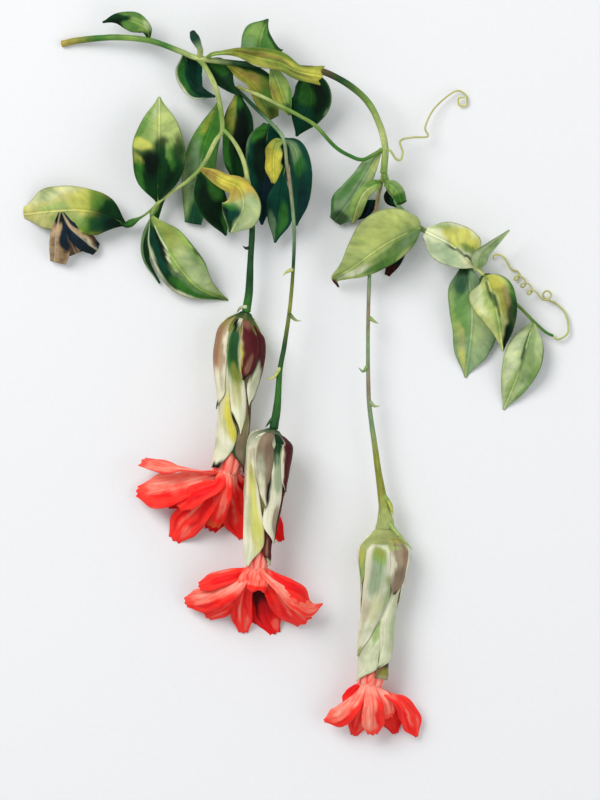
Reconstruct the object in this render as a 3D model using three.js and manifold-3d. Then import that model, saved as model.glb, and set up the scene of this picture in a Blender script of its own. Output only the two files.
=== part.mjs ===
// A cut sprig of mutisia clematis, lying on a flat surface at z = 0, in millimetres.
// +X is to the right and +Y to the top of the sprig as it is looked down on, and +Z is up.
// The origin is in the middle of the sprig's outline, on the surface.
import * as THREE from "three";
import { mergeVertices } from "three/addons/utils/BufferGeometryUtils.js";
import Module from "manifold-3d";

const wasm = await Module();
wasm.setup();

// Driving dimensions
const LEAF_THICKNESS = 0.7;
const PETAL_THICKNESS = 0.8;
const BRACT_LIFT = 0.75;
const SEAT_GAP = 0.3;
const STEM_SIDES = 6;
const TENDRIL_SIDES = 4;
const TENDRIL_RADIUS = 0.5;
const FINEST_DETAIL = 0.03;

// Colours
const LEAF_GREEN = 0x4f7a35;
const LEAF_DARK = 0x123d22;
const LEAF_TEAL = 0x0f4a3a;
const LEAF_PALE = 0x9bb05a;
const LEAF_YELLOW = 0xc8c24a;
const STEM_GREEN = 0x6d8b3c;
const TENDRIL_STRAW = 0xb9b56a;
const INVOLUCRE_CREAM = 0xc9c5a4;
const PETAL_RED = 0xf2402f;
const DISC_ORANGE = 0xe8561f;

// Small helpers

const vector = ([x, y, z]) => new THREE.Vector3(x, y, z);
const radians = THREE.MathUtils.degToRad;

// A smooth curve through a few points.
const curveThrough = (points) => new THREE.CatmullRomCurve3(points.map(vector), false, "catmullrom", 0.5);

// A smooth value at t, from 0 to 1, out of values given at even steps.
function along(values, t) {
  const last = values.length - 1;
  if (last === 0) return values[0];
  const i = Math.min(Math.floor(t * last), last - 1);
  const f = t * last - i;
  const a = values[Math.max(i - 1, 0)];
  const b = values[i];
  const c = values[i + 1];
  const d = values[Math.min(i + 2, last)];
  const bend = 2 * a - 5 * b + 4 * c - d + f * (3 * (b - c) + d - a);
  return b + 0.5 * f * (c - a + f * bend);
}

// Frames along a curve: place, direction, side (to the left) and normal, without sudden turns.
function framesAlong(curve, count) {
  const frames = [];
  let side = null;
  for (let i = 0; i <= count; i++) {
    const at = curve.getPointAt(i / count);
    const ahead = curve.getTangentAt(i / count);
    side = side
      ? side.clone().addScaledVector(ahead, -side.dot(ahead)).normalize()
      : new THREE.Vector3(0, 0, 1).cross(ahead).normalize();
    frames.push({ at, ahead, side, normal: ahead.clone().cross(side) });
  }
  return frames;
}

function geometryFrom(points, triangles) {
  const geometry = new THREE.BufferGeometry();
  geometry.setAttribute("position", new THREE.Float32BufferAttribute(points.flatMap((p) => p.toArray()), 3));
  geometry.setIndex(triangles.flat());
  return geometry;
}

function toSolid(geometry) {
  geometry.deleteAttribute("normal");
  geometry.deleteAttribute("uv");
  const merged = mergeVertices(geometry, 1e-4);
  return new wasm.Manifold(
    new wasm.Mesh({
      numProp: 3,
      vertProperties: new Float32Array(merged.attributes.position.array),
      triVerts: new Uint32Array(merged.index.array),
    }),
  );
}

// The largest body of a solid, so that no loose scrap is left after a cut.
function largestBody(solid) {
  return solid.decompose().sort((a, b) => b.volume() - a.volume())[0];
}

function toGeometry(solid) {
  const mesh = solid.getMesh();
  const geometry = new THREE.BufferGeometry();
  geometry.setAttribute("position", new THREE.BufferAttribute(new Float32Array(mesh.vertProperties), 3));
  geometry.setIndex(new THREE.BufferAttribute(new Uint32Array(mesh.triVerts), 1));
  geometry.computeVertexNormals();
  return geometry;
}

const joined = (solids) => solids.reduce((sum, next) => sum.add(next));

// Whatever dips under the surface is pressed flat on it.
const TABLE = toSolid(new THREE.BoxGeometry(600, 600, 40).translate(0, 0, -20));
const onTable = (solid) => solid.subtract(TABLE);

// A tapered stem with flat ends.
function stem(points, radii, { sides = STEM_SIDES, steps } = {}) {
  const curve = curveThrough(points);
  const count = steps ?? Math.round(points.length * 1.4);
  const ring = [];
  framesAlong(curve, count).forEach(({ at, side, normal }, i) => {
    const radius = along(radii, i / count);
    for (let k = 0; k < sides; k++) {
      const angle = (2 * Math.PI * k) / sides;
      ring.push(
        at
          .clone()
          .addScaledVector(side, radius * Math.cos(angle))
          .addScaledVector(normal, radius * Math.sin(angle)),
      );
    }
  });
  const triangles = [];
  for (let i = 0; i < count; i++)
    for (let k = 0; k < sides; k++) {
      const a = i * sides + k;
      const b = i * sides + ((k + 1) % sides);
      triangles.push([a, b, b + sides], [a, b + sides, a + sides]);
    }
  const end = count * sides;
  for (let k = 1; k < sides - 1; k++) {
    triangles.push([0, k + 1, k]);
    triangles.push([end, end + k, end + k + 1]);
  }
  return toSolid(geometryFrom(ring, triangles));
}

// How far out and up a half blade reaches at u, from 0 at the rib to 1 at the edge, for a width of 1.
// It leaves the rib at the fold angle and bends by the curl angle on its way out.
function halfSection(fold, curl, u) {
  if (Math.abs(curl) < 1e-3) return [u * Math.cos(fold), u * Math.sin(fold)];
  const end = fold + curl * u;
  return [(Math.sin(end) - Math.sin(fold)) / curl, (Math.cos(fold) - Math.cos(end)) / curl];
}

// A leaf blade or a petal: a thin solid along its rib. left and right are the half widths at even steps from
// base to tip, turn lifts the left side, fold and curl are [left, right] in degrees with plus for upward.
function blade({
  rib,
  left,
  right = left,
  turn = [0],
  fold = [0, 0],
  curl = [0, 0],
  wave = 0,
  waves = 2.5,
  rows = 6,
  columns = 2,
  thickness = LEAF_THICKNESS,
}) {
  const grid = framesAlong(curveThrough(rib), rows).map(({ at, side, normal }, i) => {
    const t = i / rows;
    const twist = radians(along(turn, t));
    const across = side.clone().multiplyScalar(Math.cos(twist)).addScaledVector(normal, Math.sin(twist));
    const up = normal.clone().multiplyScalar(Math.cos(twist)).addScaledVector(side, -Math.sin(twist));
    const row = [];
    for (let j = -columns; j <= columns; j++) {
      const isRight = j < 0 ? 1 : 0;
      const u = Math.abs(j) / columns;
      const width = Math.max(along(isRight ? right : left, t), 0.35);
      const [out, lift] = halfSection(radians(fold[isRight]), radians(curl[isRight]), u);
      const ripple = wave * u * u * Math.sin(2 * Math.PI * (waves * t + 0.3 * isRight));
      row.push(
        at
          .clone()
          .addScaledVector(across, width * out * (isRight ? -1 : 1))
          .addScaledVector(up, width * lift + ripple * Math.sin(Math.PI * t)),
      );
    }
    return row;
  });
  return sheetSolid(grid, thickness);
}

// A closed solid of even thickness round a grid of points, with both faces split into triangles alike.
function sheetSolid(grid, thickness) {
  const rows = grid.length - 1;
  const columns = grid[0].length - 1;
  const half = thickness / 2;
  const points = [];
  for (const face of [half, -half])
    grid.forEach((row, i) =>
      row.forEach((p, j) => {
        const down = grid[Math.min(i + 1, rows)][j].clone().sub(grid[Math.max(i - 1, 0)][j]);
        const over = row[Math.min(j + 1, columns)].clone().sub(row[Math.max(j - 1, 0)]);
        points.push(p.clone().addScaledVector(down.cross(over).normalize(), face));
      }),
    );
  const top = (i, j) => i * (columns + 1) + j;
  const under = (i, j) => top(i, j) + (rows + 1) * (columns + 1);
  const triangles = [];
  for (let i = 0; i < rows; i++)
    for (let j = 0; j < columns; j++) {
      triangles.push([top(i, j), top(i + 1, j), top(i + 1, j + 1)]);
      triangles.push([top(i, j), top(i + 1, j + 1), top(i, j + 1)]);
      triangles.push([under(i, j), under(i + 1, j + 1), under(i + 1, j)]);
      triangles.push([under(i, j), under(i, j + 1), under(i + 1, j + 1)]);
    }
  const wall = ([i, j], [m, n]) => {
    triangles.push([top(i, j), under(i, j), under(m, n)]);
    triangles.push([top(i, j), under(m, n), top(m, n)]);
  };
  for (let j = 0; j < columns; j++) {
    wall([0, j + 1], [0, j]);
    wall([rows, j], [rows, j + 1]);
  }
  for (let i = 0; i < rows; i++) {
    wall([i, 0], [i + 1, 0]);
    wall([i + 1, columns], [i, columns]);
  }
  return toSolid(geometryFrom(points, triangles));
}

// The sprig as a scene graph

const sprig = new THREE.Group();
sprig.name = "mutisia_clematis_sprig";

function addPiece(name, solid, color, roughness = 0.6) {
  const material = new THREE.MeshStandardMaterial({ color, roughness, metalness: 0 });
  const mesh = new THREE.Mesh(toGeometry(largestBody(onTable(solid)).simplify(FINEST_DETAIL)), material);
  mesh.name = name;
  sprig.add(mesh);
}

// Stems. Each one is a route with its radii at even steps from root to end.

const STEMS = {
  main_stem: {
    route: [
      [-98.5, 139, 1],
      [-91, 140.5, 2.8],
      [-76, 141.5, 7],
      [-61.5, 140, 11],
      [-49, 135.5, 15],
      [-41.5, 132.5, 17],
      [-28, 130.5, 20],
      [-11, 129, 23],
      [1.5, 128, 23.5],
      [10, 127, 23],
      [20.5, 122, 21.5],
      [29, 115, 19.5],
      [34, 106.5, 17.5],
      [37, 96, 16],
      [36.5, 84.5, 14],
    ],
    radii: [1.4, 1.3, 1.2, 1.2, 1.3, 1.4, 1.4, 1.5],
  },
  left_branch: {
    route: [
      [-41.5, 132.5, 17],
      [-38, 128.5, 18],
      [-33, 117.5, 19],
      [-31, 103, 18],
      [-34, 97.5, 17],
      [-39, 88, 15],
      [-44.5, 82, 13],
      [-51, 77.5, 12],
      [-58, 72, 11],
      [-61, 67, 10],
    ],
    radii: [1.1, 1.1, 1, 0.9, 0.8, 0.8],
  },
  peduncle_1: {
    route: [
      [-31, 103, 18],
      [-26.5, 98, 18.5],
      [-22.5, 90.5, 18],
      [-20.5, 82, 17],
      [-18.5, 71.5, 15],
      [-18.5, 61.5, 13.5],
      [-19, 52.5, 12.5],
      [-19.5, 42, 12],
      [-20, 33.5, 11.2],
      [-21, 26.5, 10.6],
    ],
    radii: [0.8, 0.9, 1, 1, 1.2, 1.3, 1.6, 1.8],
  },
  peduncle_2: {
    route: [
      [-39.5, 132, 17],
      [-34, 126.5, 11],
      [-24.5, 119, 12],
      [-17, 111.5, 17],
      [-10.5, 105, 22],
      [-5.5, 98.5, 26],
      [-4, 88, 27],
      [-2.3, 76, 27],
      [-1, 61, 24],
      [-1.3, 46, 21],
      [-2.7, 28.5, 19],
      [-5, 12.5, 18],
      [-7, 1.5, 18],
      [-8, -12.5, 18],
      [-9.5, -22.5, 18],
    ],
    radii: [0.8, 0.8, 0.8, 0.75, 0.75, 0.75, 0.9, 1.2, 1.9],
  },
  peduncle_3: {
    route: [
      [36.5, 84.5, 14],
      [34, 73.5, 8],
      [32.5, 63, 9],
      [31, 52.5, 10],
      [30.5, 40, 10],
      [30, 23, 10],
      [30, 2, 10],
      [30.5, -12.5, 10],
      [32.5, -27.5, 10],
      [34.5, -42, 10],
      [36.5, -54.5, 10.3],
      [37.1, -61.2, 10.5],
      [37, -64, 10.2],
    ],
    radii: [0.9, 0.8, 0.8, 0.8, 0.8, 0.8, 0.8, 0.8, 0.8, 0.85, 0.9, 1, 1.15, 1.3, 1.6, 2.2, 4],
  },
  slender_stem: {
    route: [
      [-24.5, 120.5, 13],
      [-16, 117, 20],
      [-7, 112.5, 22],
      [1.5, 108, 22],
      [8, 104, 21],
      [16, 95.5, 18],
      [22.5, 91.5, 17],
      [27.5, 90, 17],
      [32, 92, 16.5],
      [37, 95, 16],
    ],
    radii: [0.7, 0.8, 0.8, 0.8],
  },
  right_rachis: {
    route: [
      [36.5, 84.5, 14],
      [39.5, 76.5, 10],
      [44.5, 68.5, 9],
      [52, 61.5, 9],
      [64.5, 54, 8.5],
      [75, 45, 9],
      [83.5, 37, 7],
      [92, 30, 5],
      [99.5, 22.5, 5],
      [104.5, 18, 4],
      [107.5, 16.5, 3],
    ],
    radii: [1.3, 1.1, 1, 0.9, 0.7, 0.6],
  },
};

const stems = Object.fromEntries(
  Object.entries(STEMS).map(([name, { route, radii }]) => [name, stem(route, radii)]),
);

// A stem made wider by the seat gap, to cut what grows from it clear of it.
const clearance = Object.fromEntries(
  Object.entries(STEMS).map(([name, { route, radii }]) => [
    name,
    stem(route, radii.map((radius) => radius + SEAT_GAP)),
  ]),
);

const clearOf = (solid, names) => names.reduce((rest, name) => rest.subtract(clearance[name]), solid);

// Small bracts and thorn-like scales on the flower stalks, from root to point.
const STALK_BRACTS = {
  peduncle_1: [
    [[-19, 53.5, 12.5], [-21, 53, 13], [-22.5, 54, 13.5]],
    [[-21, 28.5, 12], [-23.5, 28, 13], [-25, 26, 13]],
  ],
  peduncle_2: [
    [[-1.6, 44, 20.8], [-4, 43, 22], [-5.5, 41.5, 22]],
    [[-3.1, 25.5, 18.8], [-0.5, 23, 20], [2, 22.5, 20]],
    [[-6.5, 3.5, 18], [-9.5, -1, 20], [-13, -1.5, 20]],
    [[-9, -17, 18], [-11.5, -20, 19], [-13, -22, 18.5]],
  ],
  peduncle_3: [
    [[30.5, 24, 10], [32.5, 22.5, 11], [34.5, 21.5, 11]],
    [[30, 4, 10], [28, 1.5, 11], [26, 3, 11]],
    [[30.5, -11, 10], [32.5, -13, 11], [35, -13, 11]],
    [[36, -50, 10.5], [39, -54, 12], [40.5, -59, 12]],
    [[37.5, -60, 11], [42.3, -66.6, 15.4], [48.5, -73, 14]],
  ],
};
const SCALE_RADII = [1, 0.8, 0.3];

const branchedFrom = {
  left_branch: ["main_stem"],
  peduncle_1: ["left_branch"],
  peduncle_2: ["main_stem", "left_branch"],
  peduncle_3: ["main_stem"],
  slender_stem: ["peduncle_2", "main_stem"],
  right_rachis: ["main_stem", "peduncle_3"],
};
for (const name of Object.keys(STEMS)) {
  const scales = (STALK_BRACTS[name] ?? []).map((points) =>
    stem(points, SCALE_RADII, { sides: 5, steps: 3 }),
  );
  addPiece(name, clearOf(joined([stems[name], ...scales]), branchedFrom[name] ?? []), STEM_GREEN);
}

// A young shoot by the fork: short and club-shaped.
const SHOOT = [
  [-40.4, 133.2, 17.4],
  [-40.2, 135.8, 20],
  [-41.4, 138.6, 21.8],
  [-42.7, 141.2, 23],
  [-43.5, 143.4, 23.5],
];
const SHOOT_RADII = [1.3, 1.25, 1.3, 1.8, 1.9, 1.1];
addPiece("young_shoot", clearOf(stem(SHOOT, SHOOT_RADII, { steps: 8 }), ["main_stem"]), LEAF_DARK);

// Tendrils: thin, wandering, and coiled towards the end.

// Loops that lie flat and step down from one turn to the next.
function coil({ from, to, radius, turns, steps }) {
  const start = vector(from);
  const axis = vector(to).sub(start);
  const upward = new THREE.Vector3(0, 0, 1);
  const side = upward.clone().cross(axis).normalize();
  const ahead = side.clone().cross(upward);
  const points = [];
  for (let i = 0; i <= steps; i++) {
    const angle = 2 * Math.PI * ((turns * i) / steps - 0.25);
    points.push(
      start
        .clone()
        .addScaledVector(axis, i / steps)
        .addScaledVector(ahead, radius * Math.cos(angle))
        .addScaledVector(side, radius * Math.sin(angle))
        .toArray(),
    );
  }
  return points;
}

const TENDRIL_1 = [
  [37.5, 95, 16],
  [39.5, 93.5, 16],
  [41.5, 90.5, 15],
  [43.5, 90, 14],
  [44.5, 93, 13],
  [43.5, 98, 11],
  [48.5, 99.5, 9],
  [55, 100, 7],
  [54, 104, 6],
  [58, 112, 4],
  [66.5, 119, 2.5],
  [71, 117.5, 1.5],
  [71.5, 113.5, 1],
  [68.5, 113, 1.5],
  [68, 116, 2.5],
  [70.5, 116.5, 3.5],
];
const TENDRIL_2_START = [
  [107.5, 16.5, 3],
  [110, 15, 2.5],
  [114, 18, 2],
  [113, 25.5, 1.5],
  [109, 30, 1.5],
  [106.3, 31.2, 1.5],
  [104.1, 32.2, 2.2],
  [103.5, 34, 3],
  [105.1, 35.3, 3.8],
  [106.9, 33.9, 4.5],
  [105.9, 31.9, 5.1],
  [103.4, 31.6, 5.8],
];
const TENDRIL_2_COIL = { from: [99.5, 33.5, 6.5], to: [91.5, 42.5, 0.9], radius: 1.6, turns: 3, steps: 24 };
const TENDRIL_2_END = [
  [90, 44.5, 2],
  [87, 49.5, 2],
  [83.5, 50.5, 2],
  [82.5, 48.5, 1.5],
];
const TENDRIL_RADII = [1.2, 1, 0.8].map((share) => share * TENDRIL_RADIUS);
const tendril = (points, steps) => stem(points, TENDRIL_RADII, { sides: TENDRIL_SIDES, steps });

addPiece("tendril_1", clearOf(tendril(TENDRIL_1, 36), ["main_stem"]), TENDRIL_STRAW);
addPiece(
  "tendril_2",
  clearOf(tendril([...TENDRIL_2_START, ...coil(TENDRIL_2_COIL), ...TENDRIL_2_END], 70), ["right_rachis"]),
  TENDRIL_STRAW,
);

// Leaflets. Each starts inside the stem that carries it and is then cut clear of it.

const LEAVES = {
  leaf_cut_end: {
    on: ["main_stem"],
    color: LEAF_DARK,
    rib: [[-61.8, 141, 11], [-62.6, 144.5, 13.5], [-67, 147.3, 14.5], [-74, 148.8, 13], [-81.2, 147.8, 8]],
    left: [0.8, 3.5, 5, 4, 1.2, 0.4],
    right: [0.8, 2.6, 4.2, 3.4, 2.2, 0.4],
    fold: [-15, -20],
  },
  leaf_hooked: {
    on: ["main_stem"],
    color: LEAF_TEAL,
    rib: [[-47, 135, 15], [-46, 130.5, 10.5], [-45, 124, 8], [-41.5, 118.5, 8], [-34, 116.5, 12]],
    left: [0.7, 6, 5.5, 3, 0.5],
    right: [0.7, 5, 5, 3, 0.5],
    fold: [-5, 15],
  },
  leaf_yellow: {
    on: ["main_stem"],
    color: LEAF_YELLOW,
    rib: [
      [-38.3, 132.1, 18],
      [-34, 134, 24],
      [-24.5, 134.2, 28.5],
      [-15.5, 132, 31],
      [-6.5, 129.8, 31.5],
      [0.5, 126.3, 31.5],
      [9.8, 124.4, 30.5],
    ],
    left: [0.8, 0.9, 1.2, 2.4, 4.6, 4.6, 3.4, 3, 4.6],
    right: [0.8, 0.9, 1.3, 2.5, 4.6, 4.5, 3.6, 4.2, 4.6],
    fold: [-18, -18],
    wave: 1.1,
    rows: 12,
  },
  leaf_dark_band: {
    on: ["main_stem", "left_branch", "peduncle_2"],
    color: LEAF_DARK,
    rib: [[-39.5, 132, 17], [-34, 126.5, 14], [-29, 120.5, 14.5], [-24, 117, 15]],
    left: [0.7, 6, 6.5, 3.5, 0.5],
    right: [0.7, 2, 3, 1.5, 0.5],
  },
  leaf_olive: {
    on: ["main_stem", "slender_stem"],
    color: LEAF_GREEN,
    rib: [[-29, 130, 20], [-23.5, 125.5, 18], [-16, 118, 16], [-10, 107.3, 11]],
    left: [0.7, 5, 8, 8.5, 6.5, 3],
    right: [0.7, 2, 1.5, 3.2, 3.4, 2],
    fold: [8, -8],
  },
  leaf_olive_small: {
    on: ["main_stem"],
    color: LEAF_PALE,
    rib: [[-10.5, 128.5, 23], [-8.5, 124, 20.5], [-6, 117, 19.5], [-2.8, 108.6, 16.5]],
    left: [0.7, 3, 4.2, 4, 2.6, 0.6],
    right: [0.7, 2.8, 4, 4.4, 3.4, 0.6],
    fold: [-10, -10],
  },
  leaf_top: {
    on: ["main_stem"],
    color: LEAF_GREEN,
    rib: [[-14.5, 129.5, 23], [-15.5, 136, 24], [-14.5, 142, 22], [-12, 148.7, 18]],
    left: [3, 7.5, 7.8, 8, 6.6, 0.5],
    right: [3, 9.8, 8.2, 5, 1.8, 0.5],
    fold: [-10, -10],
  },
  leaf_round: {
    on: ["main_stem"],
    color: LEAF_TEAL,
    rib: [[2.5, 127.5, 23], [5, 122, 19], [6, 113.5, 16], [0, 100, 10]],
    left: [0.7, 7, 9, 6.5, 0.5],
    right: [0.7, 6, 8.5, 6, 0.5],
    fold: [-10, -10],
  },
  leaf_upright: {
    on: ["left_branch"],
    color: LEAF_GREEN,
    rib: [[-58, 72, 11], [-58, 78.5, 15.5], [-57.5, 94.5, 19], [-57.5, 116.5, 10]],
    left: [0.8, 9, 11, 11, 7, 0.5],
    right: [0.8, 8.5, 11.5, 10.5, 7, 0.5],
    fold: [-12, -12],
    wave: 0.8,
  },
  leaf_low: {
    on: ["left_branch"],
    color: LEAF_PALE,
    rib: [[-61, 67, 10], [-57, 57.5, 13], [-49, 45, 12], [-40.5, 36, 8], [-29, 31.5, 0.2]],
    left: [0.8, 8, 10, 9.5, 5, 0.5],
    right: [0.8, 7, 10, 10, 5, 0.5],
    fold: [5, -32],
    rows: 8,
  },
  leaf_low_back: {
    on: ["left_branch"],
    color: LEAF_GREEN,
    rib: [[-55.5, 74, 11], [-59, 68, 6.5], [-63.5, 58, 5.5], [-63.5, 48.5, 4], [-57.5, 38.5, 1.5]],
    left: [0.7, 2.5, 3, 2, 0.5],
    right: [0.7, 1.2, 1.5, 1, 0.4],
    turn: [25],
  },
  leaf_left: {
    on: ["left_branch"],
    color: LEAF_YELLOW,
    stalk: [[-58.5, 71.5, 10.5], [-63, 67.5, 9], [-68, 64.5, 7.5], [-71, 63, 7], [-74, 63.5, 8]],
    stalkRadii: [0.5, 0.5, 0.6, 1.6, 0.6],
    rib: [[-71.5, 63, 7], [-80, 67, 11], [-91, 69, 12.5], [-103.5, 68.5, 8.5], [-114.5, 67.5, 0]],
    left: [0.8, 9, 10, 8.5, 7, 2],
    right: [0.8, 7.5, 9.5, 10.5, 9.5, 3],
    fold: [-12, -12],
    wave: 0.6,
  },
  leaf_grey: {
    on: ["left_branch"],
    color: LEAF_GREEN,
    rib: [[-32.5, 114, 19], [-35, 106.5, 15], [-39, 94.5, 10], [-41.5, 78, 7], [-43.5, 63.5, 3]],
    left: [0.7, 5, 6, 6.5, 5.8, 3.6],
    right: [0.7, 4, 6.5, 7.5, 6, 3.6],
    fold: [0, -10],
  },
  leaf_centre_dark: {
    on: ["peduncle_2"],
    color: LEAF_DARK,
    rib: [[-24.5, 119, 12], [-25, 109, 12], [-25.5, 96.5, 12], [-24.5, 79, 7]],
    left: [0.7, 6.5, 7.5, 6.3, 0.8],
    right: [0.7, 5, 5.5, 5, 0.8],
    fold: [-8, 8],
  },
  leaf_rolled_body: {
    on: ["left_branch"],
    color: LEAF_DARK,
    rib: [[-41, 85.5, 14.2], [-39, 80, 14], [-36.5, 71, 12], [-29.5, 58.5, 7]],
    left: [0.7, 7, 8, 6, 0.5],
    right: [0.7, 4.5, 5, 3.5, 0.5],
    fold: [5, -10],
  },
  leaf_rolled_flap: {
    on: ["left_branch"],
    color: LEAF_YELLOW,
    rib: [
      [-40, 86.2, 15.4],
      [-35, 83.8, 17.5],
      [-30, 81, 19.3],
      [-24, 78, 20.5],
      [-22.3, 70, 20.5],
      [-27.5, 59.5, 15.5],
    ],
    left: [1, 2.6, 3.3, 5, 7.5, 7, 1.2],
    right: [1, 3, 3.8, 5.4, 9, 7.5, 1.2],
    fold: [-5, -5],
    rows: 8,
  },
  leaf_teal: {
    on: ["peduncle_2"],
    color: LEAF_TEAL,
    rib: [[-11, 104.5, 21.5], [-12.5, 98, 16.5], [-13, 85.5, 12.5], [-14.5, 71.5, 8.5], [-14.5, 63, 5.5]],
    left: [3, 9, 10, 9.2, 5.5, 0.5],
    right: [3, 8, 8.5, 7.5, 5, 0.5],
    fold: [-5, -5],
  },
  leaf_sunlit: {
    on: ["peduncle_2"],
    color: LEAF_YELLOW,
    rib: [[-5.3, 97.5, 26], [-8.2, 96.3, 23], [-9.6, 90, 18.8], [-9.2, 80, 15.8]],
    left: [0.6, 3.6, 5, 4.9, 2],
    right: [0.6, 3.4, 4.9, 4.7, 1.8],
    wave: 0.6,
  },
  leaf_teal_right: {
    on: ["peduncle_2"],
    color: LEAF_TEAL,
    rib: [[-5.5, 98.5, 26], [-0.5, 94, 22.5], [1.5, 80, 19], [0, 62.5, 13]],
    left: [0.7, 4.6, 5.8, 5.4, 4.2, 0.5],
    right: [0.7, 3, 4, 3.4, 2.4, 0.5],
    fold: [-10, 5],
  },
  leaf_teal_low: {
    on: ["peduncle_2"],
    color: LEAF_TEAL,
    rib: [[-4, 89, 27], [-5.5, 83, 21], [-7, 69.5, 12.5], [-9, 55.5, 6.5]],
    left: [0.6, 1.5, 4.5, 5.5, 0.5],
    right: [0.6, 2, 5.5, 4.5, 0.5],
  },
  leaf_fork: {
    on: ["main_stem", "slender_stem"],
    color: LEAF_GREEN,
    rib: [[35.5, 94.5, 16], [30.5, 86, 12.5], [23.5, 74.5, 9], [16, 64.5, 3]],
    left: [0.7, 2.5, 4, 6, 7, 3],
    right: [0.7, 4, 5, 6.5, 7, 2.6],
    fold: [-5, -10],
  },
  leaf_arch_left: {
    on: ["main_stem", "peduncle_3", "right_rachis"],
    color: LEAF_PALE,
    rib: [[35.5, 80.5, 13.6], [32.6, 79.3, 17.2], [28.3, 76, 18.3], [25.2, 70, 16.5], [23.6, 63.5, 11]],
    left: [1.5, 2.7, 3, 3.2, 3, 0.6],
    right: [1.5, 2.7, 3, 3.2, 2.6, 0.6],
    fold: [-20, -20],
  },
  leaf_arch_right: {
    on: ["main_stem", "peduncle_3", "right_rachis"],
    color: LEAF_GREEN,
    rib: [[36.9, 80.3, 13.6], [39.6, 79.2, 17.4], [42.3, 76.3, 17.3], [44.2, 71.5, 14.3]],
    left: [1.5, 2.6, 2.9, 2.4],
    right: [1.5, 2.6, 2.7, 2.2],
    fold: [-20, -20],
    rows: 5,
  },
  leaf_shade_left: {
    on: ["peduncle_3"],
    color: LEAF_TEAL,
    rib: [[33.9, 72.5, 8.2], [31.5, 71.5, 7.5], [28, 69, 5], [24, 65, 3]],
    left: [1, 3, 3, 0.5],
    rows: 5,
  },
  leaf_shade_right: {
    on: ["right_rachis"],
    color: LEAF_TEAL,
    rib: [[38.6, 78, 10.5], [39, 74.5, 10.5], [42, 70.5, 9.5]],
    left: [0.6, 3, 3, 0.6],
    right: [0.6, 2.4, 2.4, 0.6],
    rows: 5,
  },
  leaf_broad: {
    on: ["right_rachis"],
    color: LEAF_PALE,
    rib: [
      [52.5, 61, 9],
      [50, 61, 15],
      [37, 54.5, 20.5],
      [23.5, 45, 15],
      [16, 40.5, 8],
      [17.5, 37, 3],
    ],
    left: [0.8, 8, 10, 8.5, 4, 0.5],
    right: [0.8, 11, 14, 9, 3, 0.5],
    fold: [-12, -8],
    rows: 9,
  },
  leaf_hidden: {
    on: ["right_rachis"],
    color: LEAF_DARK,
    rib: [[44.8, 68.5, 9], [43.5, 59, 5.5], [40.5, 47.5, 3], [38, 41.8, 2]],
    left: [0.6, 3, 4.2, 3.6, 1.2],
    rows: 5,
  },
  leaf_pale: {
    on: ["right_rachis"],
    color: LEAF_PALE,
    rib: [[75, 45.2, 9], [71, 49, 12.5], [64.5, 54.5, 13.5], [54, 60, 12]],
    left: [0.8, 5, 8, 9, 7.5, 2.5],
    right: [0.8, 9, 10.5, 9.5, 7.5, 2.5],
    fold: [8, -10],
  },
  leaf_edge_on: {
    on: ["right_rachis"],
    color: LEAF_PALE,
    rib: [[76.5, 43.8, 9], [77.5, 50, 14.5], [81.5, 54, 17], [89, 60.5, 19]],
    left: [0.7, 4, 3, 1.6, 0.4],
    right: [0.7, 3, 2.4, 1.4, 0.4],
    fold: [15, 15],
  },
  leaf_hanging: {
    on: ["right_rachis"],
    color: LEAF_GREEN,
    rib: [[70.5, 48.6, 8.3], [72.5, 38, 8.4], [73.5, 21, 7.5], [71, -1, -0.2]],
    left: [0.8, 5, 9, 11, 8, 0.5],
    right: [0.8, 8.5, 9.5, 8, 6, 0.5],
    fold: [-6, -6],
    wave: 0.7,
    rows: 8,
  },
  leaf_folded: {
    on: ["right_rachis"],
    color: LEAF_YELLOW,
    rib: [[78.2, 42, 9.1], [80.2, 39, 13.8], [84, 25, 16], [86.5, 10, 8]],
    left: [2.5, 9, 9.8, 8.5, 5.5, 0.5],
    right: [2.5, 10.5, 10.5, 7.5, 3, 0.5],
    fold: [-25, -20],
    rows: 7,
  },
  leaf_last: {
    on: ["right_rachis"],
    color: LEAF_GREEN,
    rib: [[99.5, 22.5, 5], [97, 14.5, 8.5], [93.5, 2, 7.5], [87, -14.5, 0]],
    left: [1, 6.5, 8.3, 7.2, 4.5, 0.5],
    right: [1, 6, 8.2, 7.2, 4.4, 0.5],
    fold: [-10, -10],
  },
};

// The withered lower part of the left leaflet: three flaps folded down from its midrib.
const WITHERED_FLAPS = [
  {
    rib: [[-99, 68, 11.6], [-100, 62.5, 13], [-101, 56, 10], [-101.5, 47.5, 2.5]],
    left: [0.8, 4, 6, 6.5, 5],
    right: [0.8, 2, 2.5, 2.5, 2],
    turn: [12],
    rows: 5,
  },
  {
    rib: [[-98.4, 68, 11.4], [-97, 62, 10.5], [-95, 56.5, 7], [-92.5, 51, 2.5]],
    left: [0.8, 3, 4.5, 4.5, 3],
    rows: 5,
  },
  {
    rib: [[-98, 68, 11.6], [-95, 62, 13], [-89.5, 57, 9.5], [-83.5, 52.5, 3.8]],
    left: [0.8, 3, 4, 4.6, 3],
    right: [0.8, 3, 4, 4.4, 3],
    turn: [-15],
    fold: [-20, -20],
    rows: 5,
  },
];

for (const [name, leaf] of Object.entries(LEAVES)) {
  const parts = [blade(leaf)];
  if (leaf.stalk) parts.push(stem(leaf.stalk, leaf.stalkRadii, { sides: 5, steps: 7 }));
  if (name === "leaf_left") parts.push(...WITHERED_FLAPS.map(blade));
  addPiece(name, clearOf(joined(parts), leaf.on), leaf.color);
}

// Flower heads. The axis runs from the stalk to the mouth. A bract's bearing is its angle round the axis,
// 0 on top and plus to the right. reach says how far down the involucre its tip comes.

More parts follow.
